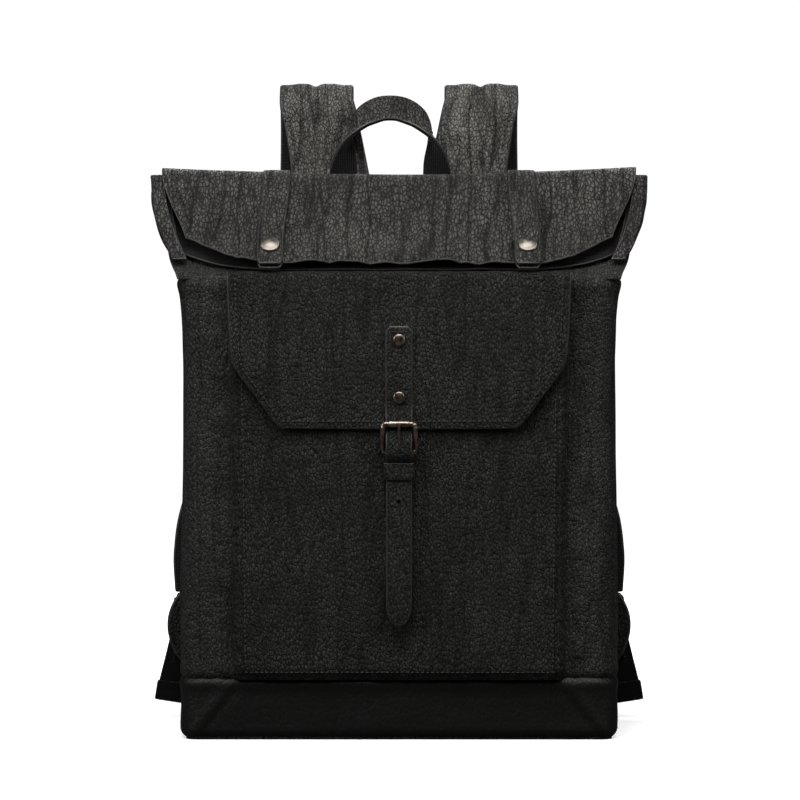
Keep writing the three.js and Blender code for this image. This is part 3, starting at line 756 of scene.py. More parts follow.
def outer_line(s):
    """(point, outward) in Y and Z at the distance s from the back seam, over the fold and down the roll."""
    if s < BACK_LENGTH:
        along = (BACK_TANGENT - BACK_SEAM).normalized()
        return BACK_SEAM + along * s, Vector((0, along.z, -along.y))
    if s < ROLL_START:
        angle = BACK_ANGLE + (s - BACK_LENGTH) / FOLD_OUTER_R
        out = Vector((0, math.cos(angle), math.sin(angle)))
        return Vector((0, FOLD.y, FOLD.z)) + out * FOLD_OUTER_R, out
    return on_roll(0, FOLD_OUTER_R, s - ROLL_START), tilted(ROLL_TILT)[0]


def over_fold(piece):
    """A piece that lies over the fold, from the back of the throat to the top of the roll; its transform is
    baked, and it does not bend with the fold.
    """
    blended(piece, "body", "roll_top", BACK_TANGENT, on_roll(0, FOLD_OUTER_R, 0))


OUTER_HALF = [
    (0, 158.0),
    (40, 164.0),
    (BACK_LENGTH, 170.5),
    (ROLL_START, 170.0),
    (ROLL_START + 16, 165.5),
    (ROLL_START + 50, 152.5),
    (ROLL_START + ROLL_LENGTH, 150.0),
]
OUTER_RISE = [(100, 0.0), (125, 5.0), (139, 14.0), (150, 22.0), (156, 25.0)]
INNER_HALF = [(0, 173.0), (30, 170.0), (54, 164.0), (76, 158.0)]
INNER_RISE = [(101, 0.0), (132, 5.0), (150, 13.0), (160, 21.0), (165, 23.0)]


def gathers(x, distance):
    """Soft upright folds over the roll, deepest in its middle and towards its lip."""
    middle = hump(x, 95)
    soft = mix(1.2, 3.6, middle) * smooth(distance, -10, 40) * wave(x * 0.042, distance * 0.006, 0, 6)
    sharp = (0.5 + 2.6 * middle) * smooth(distance, -14, 30)
    sharp *= crease(x * 0.045, distance * 0.004, 0, 7) - 1
    fine = 0.5 * smooth(distance, -14, 20) * (crease(x * 0.1, distance * 0.012, 0, 35) - 1)
    return soft + sharp + fine + 1.3 * wave(x * 0.012, distance * 0.03, 0, 9)


def outer_place(u, v):
    a = 1 - 2 * u
    end = ROLL_START + ROLL_LENGTH - through(OUTER_RISE, abs(a) * 153)
    s = mix(0, end, v)
    point, out = outer_line(s)
    x = a * through(OUTER_HALF, s)
    down = s - ROLL_START
    lift = gathers(x, down) + (2.2 + 5.2 * abs(a) ** 1.6) * hump(down + ARC_LENGTH / 2, 42) - 1.0
    lift += 0.8 * math.exp(-s / 12) * wave(x * 0.12, 0, 0, 3) - 1.2 * hump(s, 2.5)
    strapped = sum(hump(x - sign * CLOSURE_X, 15) for _, sign in SIDES)
    lift -= 1.2 * strapped * smooth(down, 5, 40)
    lift += 2.0 * smooth(down, 45, 74) * (1 - strapped)
    return Vector((x, 0, 0)) + point + out * lift


def add_outer():
    outer = Sheet(outer_place, 1.8)
    made = outer.build("roll_top_outer", 320, 130, None, face=soft_hide_painted_light, back=lining, rim=raw_edge)
    over_fold(made)
    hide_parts("throat_back", "fold_outer", "roll_outer")


def inner_place(u, v):
    a = 2 * u - 1
    distance = mix(0.0, 75.0 - through(INNER_RISE, abs(a) * 163), v)
    x = a * through(INNER_HALF, distance)
    lift = 0.8 * wave(x * 0.03, distance * 0.02, 0, 10) + 0.5 * wave(x * 0.1, distance * 0.02, 0, 11)
    lift += 0.6 * smooth(distance, 50, 75)
    return on_roll(x, FOLD_INNER_R + max(lift, -0.9), distance, ROLL_INNER_TILT)


def add_inner():
    inner = Sheet(inner_place, 1.6)
    made = inner.build("roll_top_inner", 120, 40, "roll_top", face=soft_hide_painted_light, back=lining, rim=raw_edge)
    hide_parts("roll_inner")

    def hairpin(u, v):
        angle = mix(FRONT_ANGLE, math.radians(180 - ROLL_INNER_TILT), v)
        out = Vector((0, math.cos(angle), math.sin(angle)))
        return Vector(((2 * u - 1) * 172, FOLD.y, FOLD.z)) + out * FOLD_INNER_R

    bend = Sheet(hairpin, 1.6).build("roll_top_hairpin", 40, 14, None, face=soft_hide_painted_light, back=lining)
    centre, reach = Vector((0, FOLD.y, FOLD.z)), Vector((0, 2.2, -2.0))
    blended(bend, "body", "roll_top", centre + reach, centre - reach)


REACH = [
    (0.0, 157.5), (0.18, 163.5), (0.36, 174.0), (0.46, 178.4),
    (0.58, 178.6), (0.7, 176.5), (0.86, 170.5), (1.0, 161.5),
]
DEPTH = [(0.0, 1.0), (0.2, 12.0), (0.36, 22.0), (0.5, 16.0), (0.7, 13.0), (1.0, 9.0)]
SEATED, OVER = 0.36, 0.58
END_LIFT = 5.0


def gusset_lines(v):
    """The points on the front and back layers at v, up the throat, over the fold and down the roll."""
    if v <= SEATED:
        t = v / SEATED
        return FRONT_SEAM.lerp(FRONT_TANGENT, t), BACK_SEAM.lerp(BACK_TANGENT, t)
    if v <= OVER:
        t = (v - SEATED) / (OVER - SEATED)
        inner = mix(FRONT_ANGLE, math.radians(180 - ROLL_INNER_TILT), t)
        outer = mix(BACK_ANGLE, math.radians(180 - ROLL_TILT), t)
        centre = Vector((0, FOLD.y, FOLD.z))
        return tuple(
            centre + Vector((0, math.cos(angle), math.sin(angle))) * r
            for angle, r in ((inner, FOLD_INNER_R), (outer, FOLD_OUTER_R + END_LIFT * smooth(t)))
        )
    distance = (v - OVER) / (1 - OVER) * 66
    outer = FOLD_OUTER_R + END_LIFT * math.exp(-distance / 16)
    return on_roll(0, FOLD_INNER_R, distance, ROLL_INNER_TILT), on_roll(0, outer, distance)


def add_side_gusset(name, sign):
    def place(u, v):
        front, back = gusset_lines(v)
        across = back - front
        inward = across.normalized()
        front += inward * min(1.2, across.length / 4)
        back -= inward * min(2.0, across.length / 4)
        back = back.lerp(front, 0.85 * smooth(v, 0.8, 1.0))
        reach, depth = through(REACH, v), through(DEPTH, v)
        tuck = 9.0 * smooth(v, 0.2, 0.45)
        profile = [(0, tuck), (0.1, 1.5), (0.22, 0.0), (0.36, 0.25 * depth), (0.5, depth)]
        folded = through(profile, min(u, 1 - u))
        wrinkle = 0.7 * wave(u * 6, v * 9, sign, 14) * smooth(v, 0, 0.1)
        eased = smooth(u, 0.08, 0.92)
        part = eased if v > SEATED * 0.5 else mix(u, eased, v / SEATED * 2)
        middle = front.lerp(back, part)
        return Vector((sign * (reach - folded + wrinkle), middle.y, middle.z))

    gusset = Sheet(lambda u, v: place(u if sign > 0 else 1 - u, v), 1.5)
    made = gusset.build(f"side_gusset_{name}", 60, 130, None, face=soft_hide_painted_light, back=lining)
    over_fold(made)
    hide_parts(f"throat_gusset_{name}", f"roll_end_{name}")


THROAT_HALF = [(0, 158.0), (20, 164.0), (80, 172.0)]


def add_throat():
    length = (FRONT_TANGENT - FRONT_SEAM).length
    along = (FRONT_TANGENT - FRONT_SEAM).normalized()
    out = Vector((0, -along.z, along.y))

    def front(u, v):
        s = v * length
        x = (2 * u - 1) * through(THROAT_HALF, s)
        lift = -1.2 * hump(s, 2.5) + 0.9 * hump(s - 5, 4) * (1 + wave(x * 0.13, 0, 0, 12))
        return Vector((x, 0, 0)) + FRONT_SEAM + along * s + out * lift * (1 - smooth(s, 4, 16))

    made = Sheet(front, 1.6).build("throat_front_leather", 160, 40, "body", face=body_leather, back=lining)
    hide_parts("throat_front")


# ---------- closure straps ----------
STRAP_OFFSET = FOLD_OUTER_R + LEATHER / 2 + LEATHER + 2.6


def add_closure(name, sign):
    """A closure strap: its fixed part over the fold, its free part with the snap, and the tab below."""
    x = sign * CLOSURE_X

    def half(s):
        return mix(8.9, 8.4, smooth(s, 0, ROLL_LENGTH))

    def middle(s):
        return sign * (CLOSURE_X - 3.6 * (1 - smooth(s, 0, SNAP_AT)))

    def over(u, v):
        s = mix(BACK_LENGTH * 0.3, ROLL_START + 3, v)
        point, out = outer_line(s)
        grown = mix(2.6, STRAP_OFFSET - FOLD_OUTER_R, smooth(s, BACK_LENGTH, ROLL_START))
        return Vector((middle(0) + (2 * u - 1) * half(0), 0, 0)) + point + out * grown

    back = Sheet(over, 2.2).build(f"closure_strap_back_{name}", 10, 60, None, face=soft_hide_painted_light)
    over_fold(back)
    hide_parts(f"closure_strap_base_{name}")

    def strap(u, v):
        s = mix(3.0, 81.0, v)
        width = half(s) * (1 - 0.22 * smooth(s, 76, 81.5) ** 2)
        a = 1 - 2 * u
        lift = 0.5 * wave(s * 0.05, x, 0, 15) - 0.5 * hump(s - SNAP_AT, 9) + 0.25 * (1 - a * a)
        return on_roll(middle(s) + a * width, STRAP_OFFSET + lift, s)

    sheet = Sheet(strap, 2.2)
    made = sheet.build(f"closure_strap_front_{name}", 16, 60, None, face=soft_hide_painted_light)
    route = [(0.12, 0.02), (0.12, 0.955), (0.88, 0.955), (0.88, 0.02)]
    row = stitches(f"closure_strap_stitching_{name}", sheet, route, None, 2.9, 2.0, 0.3)
    for piece in (made, row):
        blended(piece, "roll_top", f"closure_{name}", *(on_roll(x, STRAP_OFFSET, s) for s in (3.5, 11)))
    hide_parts(f"closure_strap_{name}")

    def tab(u, v):
        s = mix(50.0, 82.6, v)
        a = 1 - 2 * u
        width = 8.0 * (1 - 0.2 * smooth(s, 78, 83) ** 2)
        return on_roll(x + a * width, FOLD_OUTER_R + 2.4 + 0.2 * wave(s * 0.1, x, 0, 16), s)

    made = Sheet(tab, LEATHER).build(f"snap_tab_leather_{name}", 14, 20, "roll_top")
    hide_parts(f"snap_tab_{name}")
    add_snap(name, x)


def add_snap(name, x):
    out, down = tilted(ROLL_TILT)
    body = f"closure_{name}"
    at = on_roll(x, STRAP_OFFSET + 1.0, SNAP_AT)
    cap = turned(f"snap_cap_dome_{name}", rounded(7.0, 1.5, 0.9, 1.3, 8), at, out, body, nickel)
    centre = on_roll(x, 0, SNAP_AT) + out * (STRAP_OFFSET + 1.5)
    rim = hoop(f"snap_cap_rim_{name}", circle(centre, X, down, 6.7, 16), 0.55, body, nickel, 8, 64)
    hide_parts(f"snap_cap_{name}")


# ---------- front pocket ----------
POCKET_Y = POCKET_LOW.y
POCKET_OUTLINE = [(BASE_Z, 117.5), (200, 119.0), (POCKET_HIGH.z, 121.5)]


def pocket_place(u, v):
    z = mix(BASE_Z + 0.2, POCKET_HIGH.z, v)
    a = 2 * u - 1
    half = through(POCKET_OUTLINE, z)
    x = a * half
    side, low = half - abs(x), z - BASE_Z
    drop = 5.6 * (1 - smooth(side, -1.5, 5.5)) + 1.3 * hump(side - 5.6, 1.1)
    drop += 4.0 * (1 - smooth(low, -2, 8))
    out = 1.6 * hump(x, 90) * math.sin(math.pi * min(max(low / 290, 0), 1))
    out += 1.0 * wave(x * 0.02, z * 0.009, 0, 17)
    out -= 0.8 * (1 - crease(x * 0.035, z * 0.008, 0, 18)) * smooth(side, 0, 25)
    out -= 0.5 * (1 - crease(x * 0.07, z * 0.02, 0, 19)) * smooth(side, 0, 12)
    out += 1.5 * hump(side - 2.4, 2.2) * wave(x * 0.12, z * 0.27, 0, 20)
    out += 1.0 * hump(side - 10, 5) * wave(x * 0.06, z * 0.14, 0, 33)
    out += 0.9 * math.exp(-low / 8) * wave(x * 0.12, z * 0.02, 0, 21)
    return Vector((x, POCKET_Y + LEATHER / 2 + drop - out, z))


def add_pocket():
    pocket = Sheet(pocket_place, 1.8)
    made = pocket.build("pocket_front", 240, 240, "body")
    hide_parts("pocket_panel", "pocket_gusset_left", "pocket_gusset_right", "pocket_floor")
    routes = {name: [(0.5 + sign * 0.467, 0.015), (0.5 + sign * 0.467, 0.99)] for name, sign in SIDES}
    routes["low"] = [(0.03, 0.019), (0.97, 0.019)]
    rows = [stitches(f"pocket_stitching_{name}", pocket, route, "body") for name, route in routes.items()]


FLAP_HALF = FLAP_HIGH.x
FLAP_PROFILE = Path(
    [(0, FLAP_HINGE.y + dy, FLAP_HINGE.z + dz) for dy, dz in (
        (3.4, -3.0), (3.6, 0.5), (1.6, 3.2), (-1.2, 3.6), (-3.0, 1.6), (-3.7, -3.0), (-4.1, -14.0),
        (-4.7, -40.0), (-5.0, -75.0), (-4.6, -100.0), (-4.3, FLAP_LOW.z - FLAP_HINGE.z),
    )]
)
FLAP_OUTLINE = [
    (FLAP_LOW.z, 82.5),
    (FLAP_LOW.z + 2.0, 86.0),
    (FLAP_LOW.z + 20, 99.5),
    (FLAP_LOW.z + 40, 114.5),
    (FLAP_LOW.z + 46, 117.6),
    (FLAP_LOW.z + 52, 118.8),
    (FLAP_LOW.z + 72, 120.4),
    (FLAP_HIGH.z, 122.0),
]


def flap_place(u, v):
    point, along = FLAP_PROFILE.at(v)
    out = Vector((0, along.z, -along.y))
    a = 2 * u - 1
    x = a * through(FLAP_OUTLINE, point.z)
    down = FLAP_HINGE.z - point.z
    lift = smooth(down, 4, 20) * (
        0.6 * wave(x * 0.03, down * 0.02, 0, 22) - 0.5 * (1 - crease(x * 0.05, down * 0.014, 0, 23))
    )
    lift += 0.35 * wave(x * 0.1, down * 0.05, 0, 24)
    lift += 0.5 * hump(x, 60) * smooth(down, 10, 60)
    return Vector((x, 0, 0)) + point + out * lift


def add_flap():
    flap = Sheet(lambda u, v: flap_place(1 - u, v), 2.2)
    made = flap.build("pocket_flap_leather", 170, 130, "flap")
    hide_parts("pocket_flap")
    total, margin = FLAP_PROFILE.length, 5.0
    in_u = margin / (2 * FLAP_HALF)
    left = [(in_u, 14 / total), (in_u, 1 - 46.0 / total), (in_u * 1.15, 1 - margin / total)]
    right = [(1 - u, v) for u, v in reversed(left)]
    row = stitches("pocket_flap_stitching", flap, left + right, "flap")


# ---------- flap strap and buckle ----------
STRAP_Y = FLAP_LOW.y - 1.6
TAIL_Y = (TAIL_LOW.y + TAIL_HIGH.y) / 2
STRAP_HALF = 9.15


def strap_thickness(u, _v):
    """Thinner inside a narrow raised margin."""
    return 2.2 - 0.45 * smooth(0.5 - abs(u - 0.5), 0.05, 0.11)


def add_flap_strap():
    line = Path(
        [(0, y, z) for y, z in (
            (STRAP_Y - 0.4, STRAP_TOP), (STRAP_Y - 0.9, 280), (STRAP_Y - 0.9, 255), (STRAP_Y - 0.6, 240),
            (-78.7, 229), (-80.3, 223), (-82.5, 216), (-83.1, 210), (-82.2, 205), (-79.6, 201.4),
            (TAIL_Y + 0.15, 198), (TAIL_Y + 0.15, 192),
        )]
    )

    def place(u, v):
        point = line.at(v)[0]
        a = 1 - 2 * u
        run = v * line.length
        width = STRAP_HALF - 0.75 - 2.6 * (1 - smooth(run, 0, 3.5)) ** 2
        width += 0.35 * (1 - smooth(run, 64, 68))
        return point + X * a * width + Vector((0, 0.15 * wave(a, run * 0.08, 0, 25), 0))

    strap = Sheet(place, strap_thickness)
    made = strap.build("flap_strap_leather", 24, 150, "flap")
    punch(made, Vector((0, -82.0, 217.4)), Vector((0, -1, 0.3)), 1.5, 9, 1.5)
    end = 66 / line.length
    route = [(0.13, end), (0.13, 0.03), (0.87, 0.03), (0.87, end)]
    row = stitches("flap_strap_stitching", strap, route, "flap", 2.6, 1.8, 0.3)
    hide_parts("flap_strap")

    tip = TAIL_LOW.z

    def tail(u, v):
        z = mix(197.5, tip, v)
        t, down = min(max(z - tip, 0.0) / 17.5, 1.0), 197 - z
        width = (STRAP_HALF - 0.9) * min(1.0, 0.16 + 0.84 * math.sqrt(t * (2 - t)))
        lift = 0.35 * wave(z * 0.03, 0, 0, 26)
        lift += 0.9 * smooth(down, 20, 115) * math.sin(math.radians(down * 1.4))
        a = 1 - 2 * u
        return Vector((a * width, TAIL_Y - 0.3 - lift * 0.5, z))

    free = Sheet(tail, strap_thickness).build("strap_tail_leather", 24, 140, None)
    for z in (171.5, 198.5):
        punch(free, Vector((0, TAIL_Y, z)), Y, 1.5, 9)
    hinge = joint_at["strap_tail_lift"]
    blended(free, "flap", "tail", hinge + Z * 5, hinge - Z * 6)
    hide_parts("strap_tail")


def add_keeper():
    middle_y = (KEEPER_LOW.y + KEEPER_HIGH.y) / 2
    half_x, half_y = KEEPER_HIGH.x - 0.7, (KEEPER_HIGH.y - KEEPER_LOW.y) / 2 - 0.7
    outline = [(x, middle_y + y, 0) for x, y in rounded_corners(half_x, half_y, 2.0, 4)]
    line = Path(outline, closed=True, steps=6)

    def place(u, v):
        point = line.at(u)[0]
        bow = 0.35 * (1 - (2 * v - 1) ** 2)
        return Vector((point.x, point.y - bow * (point.y < middle_y), mix(KEEPER_LOW.z, KEEPER_HIGH.z, v)))

    made = Sheet(place, 1.4, closed=True).build("strap_keeper_leather", 96, 12, "flap")
    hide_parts("strap_keeper")


def add_rivets():
    for name in ("upper", "lower"):
        low, high = corners(f"rivet_{name}")
        at = Vector((0, STRAP_Y - 1.9, (low.z + high.z) / 2))
        made = turned(f"rivet_dome_{name}", rounded(4.4, 1.7, 1.4, 0.25, 7), at, -Y, "flap", gunmetal)
        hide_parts(f"rivet_{name}")


def add_buckle():
    half, bar, corner_r = 11.75, 1.95, 3.0
    low, high = Vector((0, LOWER_BAR.y, LOWER_BAR.z)), Vector((0, ROLLER.y, ROLLER.z))
    up = (high - low).normalized()
    middle, reach = (low + high) / 2, (high - low).length / 2
    corner_points = rounded_corners(half, reach, corner_r, 4)
    outline = [middle + X * across + up * along for across, along in corner_points]
    frame_bar = hoop("buckle_bar", outline, bar, "flap", gunmetal, 16, 160)
    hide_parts("buckle_frame")

    end = [(0, -7.5), (2.0, -7.5), (2.45, -7.1), (2.5, -6.7)]
    profile = end + [(r, -x) for r, x in reversed(end)]
    roller = turned("buckle_roller_tube", profile, high, X, "roller", gunmetal)
    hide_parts("buckle_roller")

    tip = high + Vector((0, -4.2, 1.2))
    start = low + Vector((0, -2.4, 0.8))
    line = Path([start, start.lerp(tip, 0.5) + Vector((0, -0.5, 0)), tip + Vector((0, 0, -2)), tip])
    prong = tube("buckle_prong_bar", line, lambda v: mix(1.45, 1.0, v), "prong", gunmetal, 14, 40)
    eye = hoop("buckle_prong_eye", circle(low, Y, Z, 2.6, 12), 0.9, "prong", gunmetal, 10, 48)
    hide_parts("buckle_prong")


# ---------- handle and shoulder straps ----------
HANDLE_TOP = corners("handle_leather")[1].z
HANDLE = joint_at["top_handle_lean"]


def add_handle():
    foot, middle_x, half_span = HANDLE.z + 1, HANDLE.x - 2.5, 34.5
    rise = HANDLE_TOP - 9.2 - foot
    # the left half of the loop: parts of the half span and of the rise
    loop = [(-1, -0.19), (-1, 0), (-1, 0.45), (-0.98, 0.64)]
    loop += [(-0.87, 0.8), (-0.62, 0.925), (-0.3, 0.985), (0, 1)]
    left = [
        Vector((middle_x + a * half_span, HANDLE.y - 1 - 2.5 * max(b, 0), foot + b * rise)) for a, b in loop
    ]
    right = [Vector((2 * middle_x - p.x, p.y, p.z)) for p in reversed(left[:-1])]
    line = Path(left + right)

    def place(offset):
        def at(u, v):
            point, along = line.at(v)
            lean = math.radians(mix(-90, 52, smooth(v, 0.24, 0.47) * smooth(1 - v, 0.24, 0.47)))
            face = along.cross(Y) * math.cos(lean) - Y * math.sin(lean)
            out = -face
            side = along.cross(out)
            a = 2 * u - 1
            bow = 0.9 * (1 - a * a) * hump(v - 0.5, 0.16)
            width = 9.6 + 0.6 * hump(v - 0.5, 0.12)
            return point + side * a * width + out * (offset - bow + 0.25 * wave(v * 14, a, 0, 27))

        return at

    outer = Sheet(lambda u, v: place(-1.0)(1 - u, v), 2.0)
    made = outer.build("handle_leather_face", 14, 130, None, face=soft_hide_painted_light)
    strap = Sheet(place(0.75), 1.4).build("handle_webbing_face", 14, 130, None, *[webbing] * 3)
    rows = [
        stitches(f"handle_stitching_{i}", outer, [(at, 0.03), (at, 0.97)], None, 3.4, 2.4, 0.35)
        for i, at in enumerate((0.12, 0.88))
    ]
    for piece in (made, strap, *rows):
        blended(piece, "body", "handle", HANDLE - Z * 5, HANDLE + Z * 8)
    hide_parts("handle_leather")
    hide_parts("handle_webbing")


def add_yoke():
    low, high = corners("strap_yoke")

    def place(u, v):
        x, z = mix(high.x, low.x, u), mix(low.z, high.z, v)
        y = low.y + 1.4 - 0.5 * (1 - hump(x, 95)) + 0.2 * wave(x * 0.05, z * 0.05, 0, 28)
        return Vector((x, y, z))

    yoke = Sheet(place, 2.0)
    made = yoke.build("strap_yoke_leather", 60, 20, "body")
    route = [(0.02, 0.95), (0.02, 0.08), (0.98, 0.08), (0.98, 0.95), (0.02, 0.95)]
    row = stitches("strap_yoke_stitching", yoke, route, "body")
    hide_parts("strap_yoke")


def strap_line(sign):
    def arch(degrees):
        angle = math.radians(degrees)
        return 61, ARCH.y + 11 * math.cos(angle), ARCH.z + 16 * math.sin(angle)

    rising = [(42, 71.4, 296), (43, 71.8, 325), (46, 73.5, 370), (52, 76.5, 412), (58, 78.5, 446)]
    over = [arch(degrees) for degrees in (170, 130, 90, 50, 10)]
    falling = [
        (61, 104, 420), (63, 107, 360), (74, 108, 290), (102, 104, 222),
        (134, 100, 160), (143, 98, 125), (143, 97, 96),
    ]
    return Path([(sign * x, y, z) for x, y, z in rising + over + falling])


def add_shoulder_strap(name, sign):
    line = strap_line(sign)
    top_v = max(range(201), key=lambda k: line.at(k / 200)[0].z) / 200

    def half(v):
        width = mix(28.5, 26.0, smooth(v, 0.1, 0.28))
        return width - 3.0 * smooth(v, 0.85, 1.0) - 3.5 * (1 - smooth(v, 0, 0.08))

    def thickness(u, v):
        inward = (0.5 - abs(u - 0.5)) * 2 * half(v)
        swell = smooth(inward, 5.0, 14.0) * smooth(v, 0.02, 0.13) * (1 - smooth(v, 0.965, 1.0))
        pinch = 1 - 0.72 * hump(v - top_v, 0.035)
        pinch *= 1 - 0.35 * hump(u - 0.48, 0.08) * hump(v - top_v, 0.12)
        return 2.6 + 8.0 * swell * pinch

    def place(u, v):
        point, along = line.at(v)
        side = (X - along * along.x).normalized()
        out = side.cross(along)
        a = 2 * u - 1
        calm = 1 - 0.7 * hump(v - top_v, 0.02)
        wrinkle = 0.5 * wave(a * 1.1 * sign + v * 16, v * 11, sign, 29) * calm
        creased = 0.55 * (1 - crease(a * 1.5 * sign + v * 26, v * 9, sign, 30))
        wrinkle -= creased * calm * smooth(1 - abs(a), 0.1, 0.4)
        sunk = 1.9 * hump(a + 0.03 + sign * (v - top_v) * 4, 0.13)
        sunk *= smooth(v, top_v - 0.07, top_v - 0.01)
        sunk *= 1 - smooth(v, top_v + 0.01, top_v + 0.05)
        return point + side * a * half(v) + out * (wrinkle - sunk)

    def flat(u, v):
        point, along = line.at(v)
        return point + (X - along * along.x).normalized() * (2 * u - 1) * half(v)

    pad = Sheet(place, thickness, core=flat)
    made = pad.build(f"shoulder_strap_{name}", 44, 220, None, face=strap_hide_painted_light, back=mesh_fabric)
    title = f"shoulder_strap_stitching_{name}"
    rows = [
        stitches(f"{title}_{i}", pad, [(at, 0.01), (at, 0.985)], None, 3.6, 2.6, 0.4)
        for i, at in enumerate((0.075, 0.925))
    ]
    # the rising run ends before start and the hanging run, underside included, lies behind end
    start, end = Vector((0, ARCH.y - 6.1, ARCH.z)), Vector((0, ARCH.y + 0.9, ARCH.z))
    for piece in (made, *rows):
        blended(piece, "body", f"shoulder_{name}", start, end)
    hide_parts(f"shoulder_strap_upper_{name}", f"shoulder_strap_lower_{name}")


def add_strap_end(name, sign):
    """The slider, the free webbing tail under it, and the webbing from the anchor tab up to it."""
    adjuster, shoulder = f"adjuster_{name}", f"shoulder_{name}"
    low, high = corners(f"strap_slider_{name}")
    centre = (low + high) / 2
    lean = Matrix.Rotation(math.radians(sign * -6), 4, "Y")

    def bar(x, z, y=0.0):
        return centre + lean @ Vector((x, y, z))

    outline = [bar(x, z) for x, z in rounded_corners(22, 11, 3, 3)]
    ring = hoop(f"strap_slider_ring_{name}", outline, 2.0, adjuster, plastic, 12, 120)
    line = Path([bar(-21, 0, 0.8), bar(0, 0, 1.2), bar(21, 0, 0.8)])
    middle = tube(f"strap_slider_bar_{name}", line, 2.1, adjuster, plastic, 12, 24)
    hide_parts(f"strap_slider_{name}")

    def ribbon(kind, points, half, across, along, body):
        """Webbing along points given for the right side."""
        line = Path([(sign * x, y, z) for x, y, z in points])

        def place(u, v):
            point, along = line.at(v)
            side = (X - along * along.x).normalized()
            a = 1 - 2 * u
            return point + side * a * half + side.cross(along) * (0.3 * wave(v * 5, a, sign, 31))

        return Sheet(place, 1.6).build(f"{kind}_{name}", across, along, body, *[webbing] * 3)

    falling = [(146, 101, 88), (147, 102.5, 79), (154, 103.5, 48), (163, 101, 12)]
    tail = ribbon("webbing_tail_band", falling, 19.0, 20, 80, adjuster)
    hem = ribbon("webbing_tail_hem", [(161, 99.6, 25), (163, 99.1, 12)], 19.0, 20, 12, adjuster)
    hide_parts(f"webbing_tail_{name}")
    rising = [(149, 68.2, 42), (147, 72, 52), (146, 82, 64), (145, 92, 75)]
    anchor = ribbon("anchor_webbing_band", rising, 18.5, 16, 50, None)
    blended(anchor, "body", shoulder, Vector((sign * 145, 71, 50)), Vector((sign * 145, 92, 75)))
    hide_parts(f"anchor_webbing_{name}")
    hanging = [(143, 97.0, 112), (143.5, 97.6, 102), (144.5, 98.2, 94.5)]
    link = ribbon("slider_loop_band", hanging, 18.5, 16, 20, shoulder)
    add_anchor_tab(name, sign)


def add_anchor_tab(name, sign):
    low, high = corners(f"anchor_tab_{name}")
    half_at = [(42, 157), (52, 164.5), (62, 168.5), (72, 170), (82, 168.8), (92, 164.5), (98, 160)]

    def place(u, v):
        z = mix(low.z, high.z - 2, v)
        x = mix(140, through(half_at, z), u if sign > 0 else 1 - u)
        return Vector((sign * x, 64.2 - 0.8 * smooth(x, 150, 168), z))

    tab = Sheet(place, 3.0)
    made = tab.build(f"anchor_tab_leather_{name}", 26, 50, "body")
    inset = 0.86 if sign > 0 else 0.14
    route = [(inset, 0.06), (inset, 0.94)]
    row = stitches(f"anchor_tab_stitching_{name}", tab, route, "body", 3.0, 2.2, 0.35)
    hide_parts(f"anchor_tab_{name}")


def add_back_pad(name, sign):
    """One of two upright pads beside the back's middle channel, crowned and sewn down at its edges."""
    middle_x, half_x, middle_z, half_z = sign * 62, 52, 178, 108

    def place(u, v):
        a, b = 2 * u - 1, 2 * v - 1
        x, z = middle_x - a * half_x, middle_z + b * half_z
        squash = 1 - 0.05 * (abs(a) ** 6 * abs(b) ** 6)
        y = BACK_Y + 2.0 + 0.3 * wave(x * 0.05, z * 0.05, 0, 32)
        return Vector((middle_x + (x - middle_x) * squash, y, z))

    def thickness(u, v):
        side = min(0.5 - abs(u - 0.5), 0.5) * 2 * half_x
        end = min(0.5 - abs(v - 0.5), 0.5) * 2 * half_z
        return 2.0 + 9.0 * smooth(min(side, end), 1.5, 16)

    pad = Sheet(place, thickness)
    made = pad.build(f"back_pad_{name}", 50, 90, "body", face=mesh_fabric, back=mesh_fabric)


# ---------- carried-over nodes ----------
def finish_nodes():
    finishes = {
        leather: ("bottom_panel", "buckle_tab"),
        lining: ("main_lining", "laptop_divider"),
        foam: ("back_foam",),
        board: ("base_board",),
        nickel: ("magnet_snap_male", "magnet_snap_female", "snap_stud_left", "snap_stud_right"),
    }
    for finish, names in finishes.items():
        for name in names:
            for slot in frame["nodes"][name].material_slots:
                slot.material = finish


# ---------- stage ----------
def camera_only(node, links, seen, lit):
    """A shader that the camera sees as seen (on the floor a white glow with a painted contact shadow round
    the bag), and that lights the scene more dimly.
    """
    straight = node("ShaderNodeLightPath").outputs["Is Camera Ray"]
    both = node("ShaderNodeMixShader", {0: straight})
    links.new(lit, both.inputs[1])
    links.new(seen, both.inputs[2])
    return both.outputs[0]


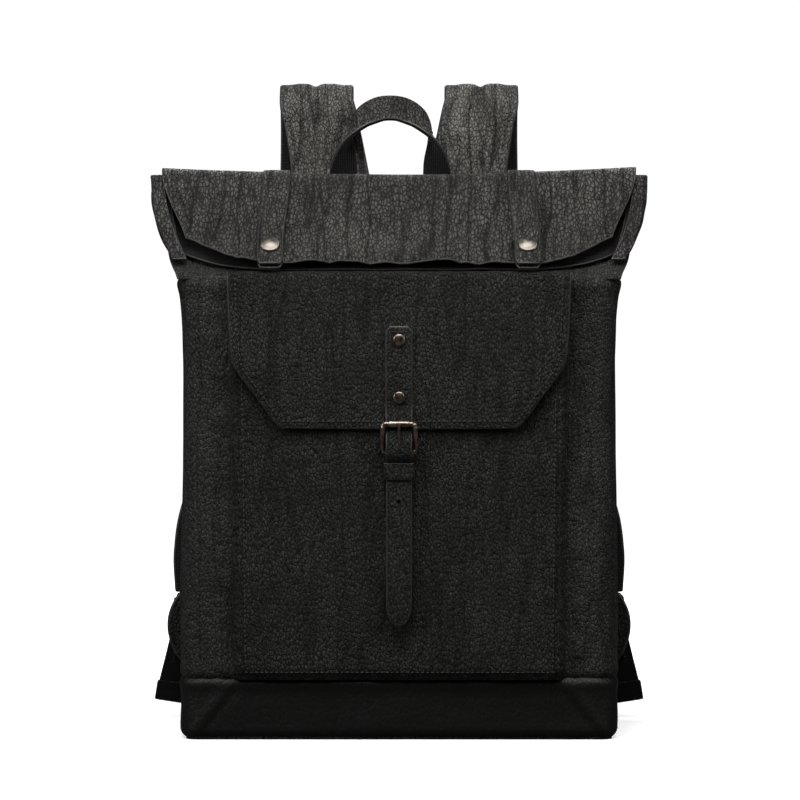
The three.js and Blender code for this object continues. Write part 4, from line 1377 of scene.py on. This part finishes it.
def add_stage():
    far, floor_z = 60000, -0.2
    ends = [(sx * far, sy * far, floor_z) for sx, sy in ((-1, -1), (1, -1), (1, 1), (-1, 1))]
    floor = mesh_object("floor", ends, [(0, 1, 2, 3)], [])
    paper, shader, node, links = material("paper", (0.1, 0.1, 0.1), 0.9, specular=0.0)
    floor.data.materials.append(paper)
    # the floor glows at 0.55 within 0.3 m of its origin under the bag, rising to 1.05 beyond 0.9 m: a
    # painted contact shadow
    spot = node("ShaderNodeVectorMath", {0: place_in(node)}, operation="LENGTH").outputs["Value"]
    level = mapped(node, spot, 0.55, 1.05, 0.3, 0.9)
    floor_glow_painted_shadow = node("ShaderNodeEmission", {"Color": (1, 1, 1, 1), "Strength": level}).outputs[0]
    bright = node("ShaderNodeBsdfDiffuse", {"Color": (0.9, 0.9, 0.9, 1)}).outputs[0]
    seen = node("ShaderNodeAddShader")
    links.new(floor_glow_painted_shadow, seen.inputs[0])
    links.new(bright, seen.inputs[1])
    output = next(n for n in paper.node_tree.nodes if n.type == "OUTPUT_MATERIAL")
    links.new(camera_only(node, links, seen.outputs[0], shader.outputs[0]), output.inputs["Surface"])

    world = bpy.data.worlds.new("studio")
    bpy.context.scene.world = world
    world.use_nodes = True
    nodes, links = world.node_tree.nodes, world.node_tree.links
    path = nodes.new("ShaderNodeLightPath")
    level = nodes.new("ShaderNodeMapRange")
    level.inputs["To Min"].default_value = AMBIENT
    level.inputs["To Max"].default_value = 1.05
    links.new(path.outputs["Is Camera Ray"], level.inputs["Value"])
    links.new(level.outputs["Result"], nodes["Background"].inputs["Strength"])
    nodes["Background"].inputs["Color"].default_value = (1, 1, 1, 1)
    for name, at, aim, size, power in LIGHTS:
        light = bpy.data.lights.new(name, "AREA")
        light.shape = "RECTANGLE"
        light.size, light.size_y, light.energy = *size, power
        lamp = bpy.data.objects.new(name, light)
        lamp.location = at
        lamp.rotation_euler = (Vector(aim) - Vector(at)).to_track_quat("-Z", "Y").to_euler()
        bpy.context.collection.objects.link(lamp)
    bpy.context.scene.view_settings.view_transform = "Standard"


AMBIENT = 0.03
LIGHTS = (
    ("overhead", (0.0, -0.5, 1.15), (0, 0, 0.36), (0.95, 0.4), 12),
    ("key", (-0.35, -1.45, 1.5), (0, 0, 0.33), (0.5, 0.4), 6),
    ("left_strip", (-1.15, -0.7, 0.8), (0, -0.02, 0.36), (0.2, 0.6), 6),
    ("right_strip", (1.15, -0.7, 0.8), (0, -0.02, 0.36), (0.2, 0.6), 3.5),
    ("back", (0.0, 1.4, 1.1), (0, 0, 0.3), (1.0, 0.8), 13),
)


def add_camera():
    camera = bpy.data.objects.new("camera", bpy.data.cameras.new("camera"))
    camera.location = (0.0007, -3.8, 0.379)
    aim = Vector((0.0007, 0, 0.2414))
    camera.rotation_euler = (aim - camera.location).to_track_quat("-Z", "Y").to_euler()
    camera.data.angle = math.radians(8.744)
    camera.data.clip_end = 20
    bpy.context.collection.objects.link(camera)
    bpy.context.scene.camera = camera


def both_sides(add):
    for name, sign in SIDES:
        add(name, sign)


add_camera()
add_stage()
add_shell()
add_base()
add_throat()
add_outer()
add_inner()
both_sides(add_side_gusset)
both_sides(add_closure)
add_pocket()
add_flap()
add_flap_strap()
add_keeper()
add_rivets()
add_buckle()
add_handle()
add_yoke()
both_sides(add_shoulder_strap)
both_sides(add_strap_end)
both_sides(add_back_pad)
finish_nodes()
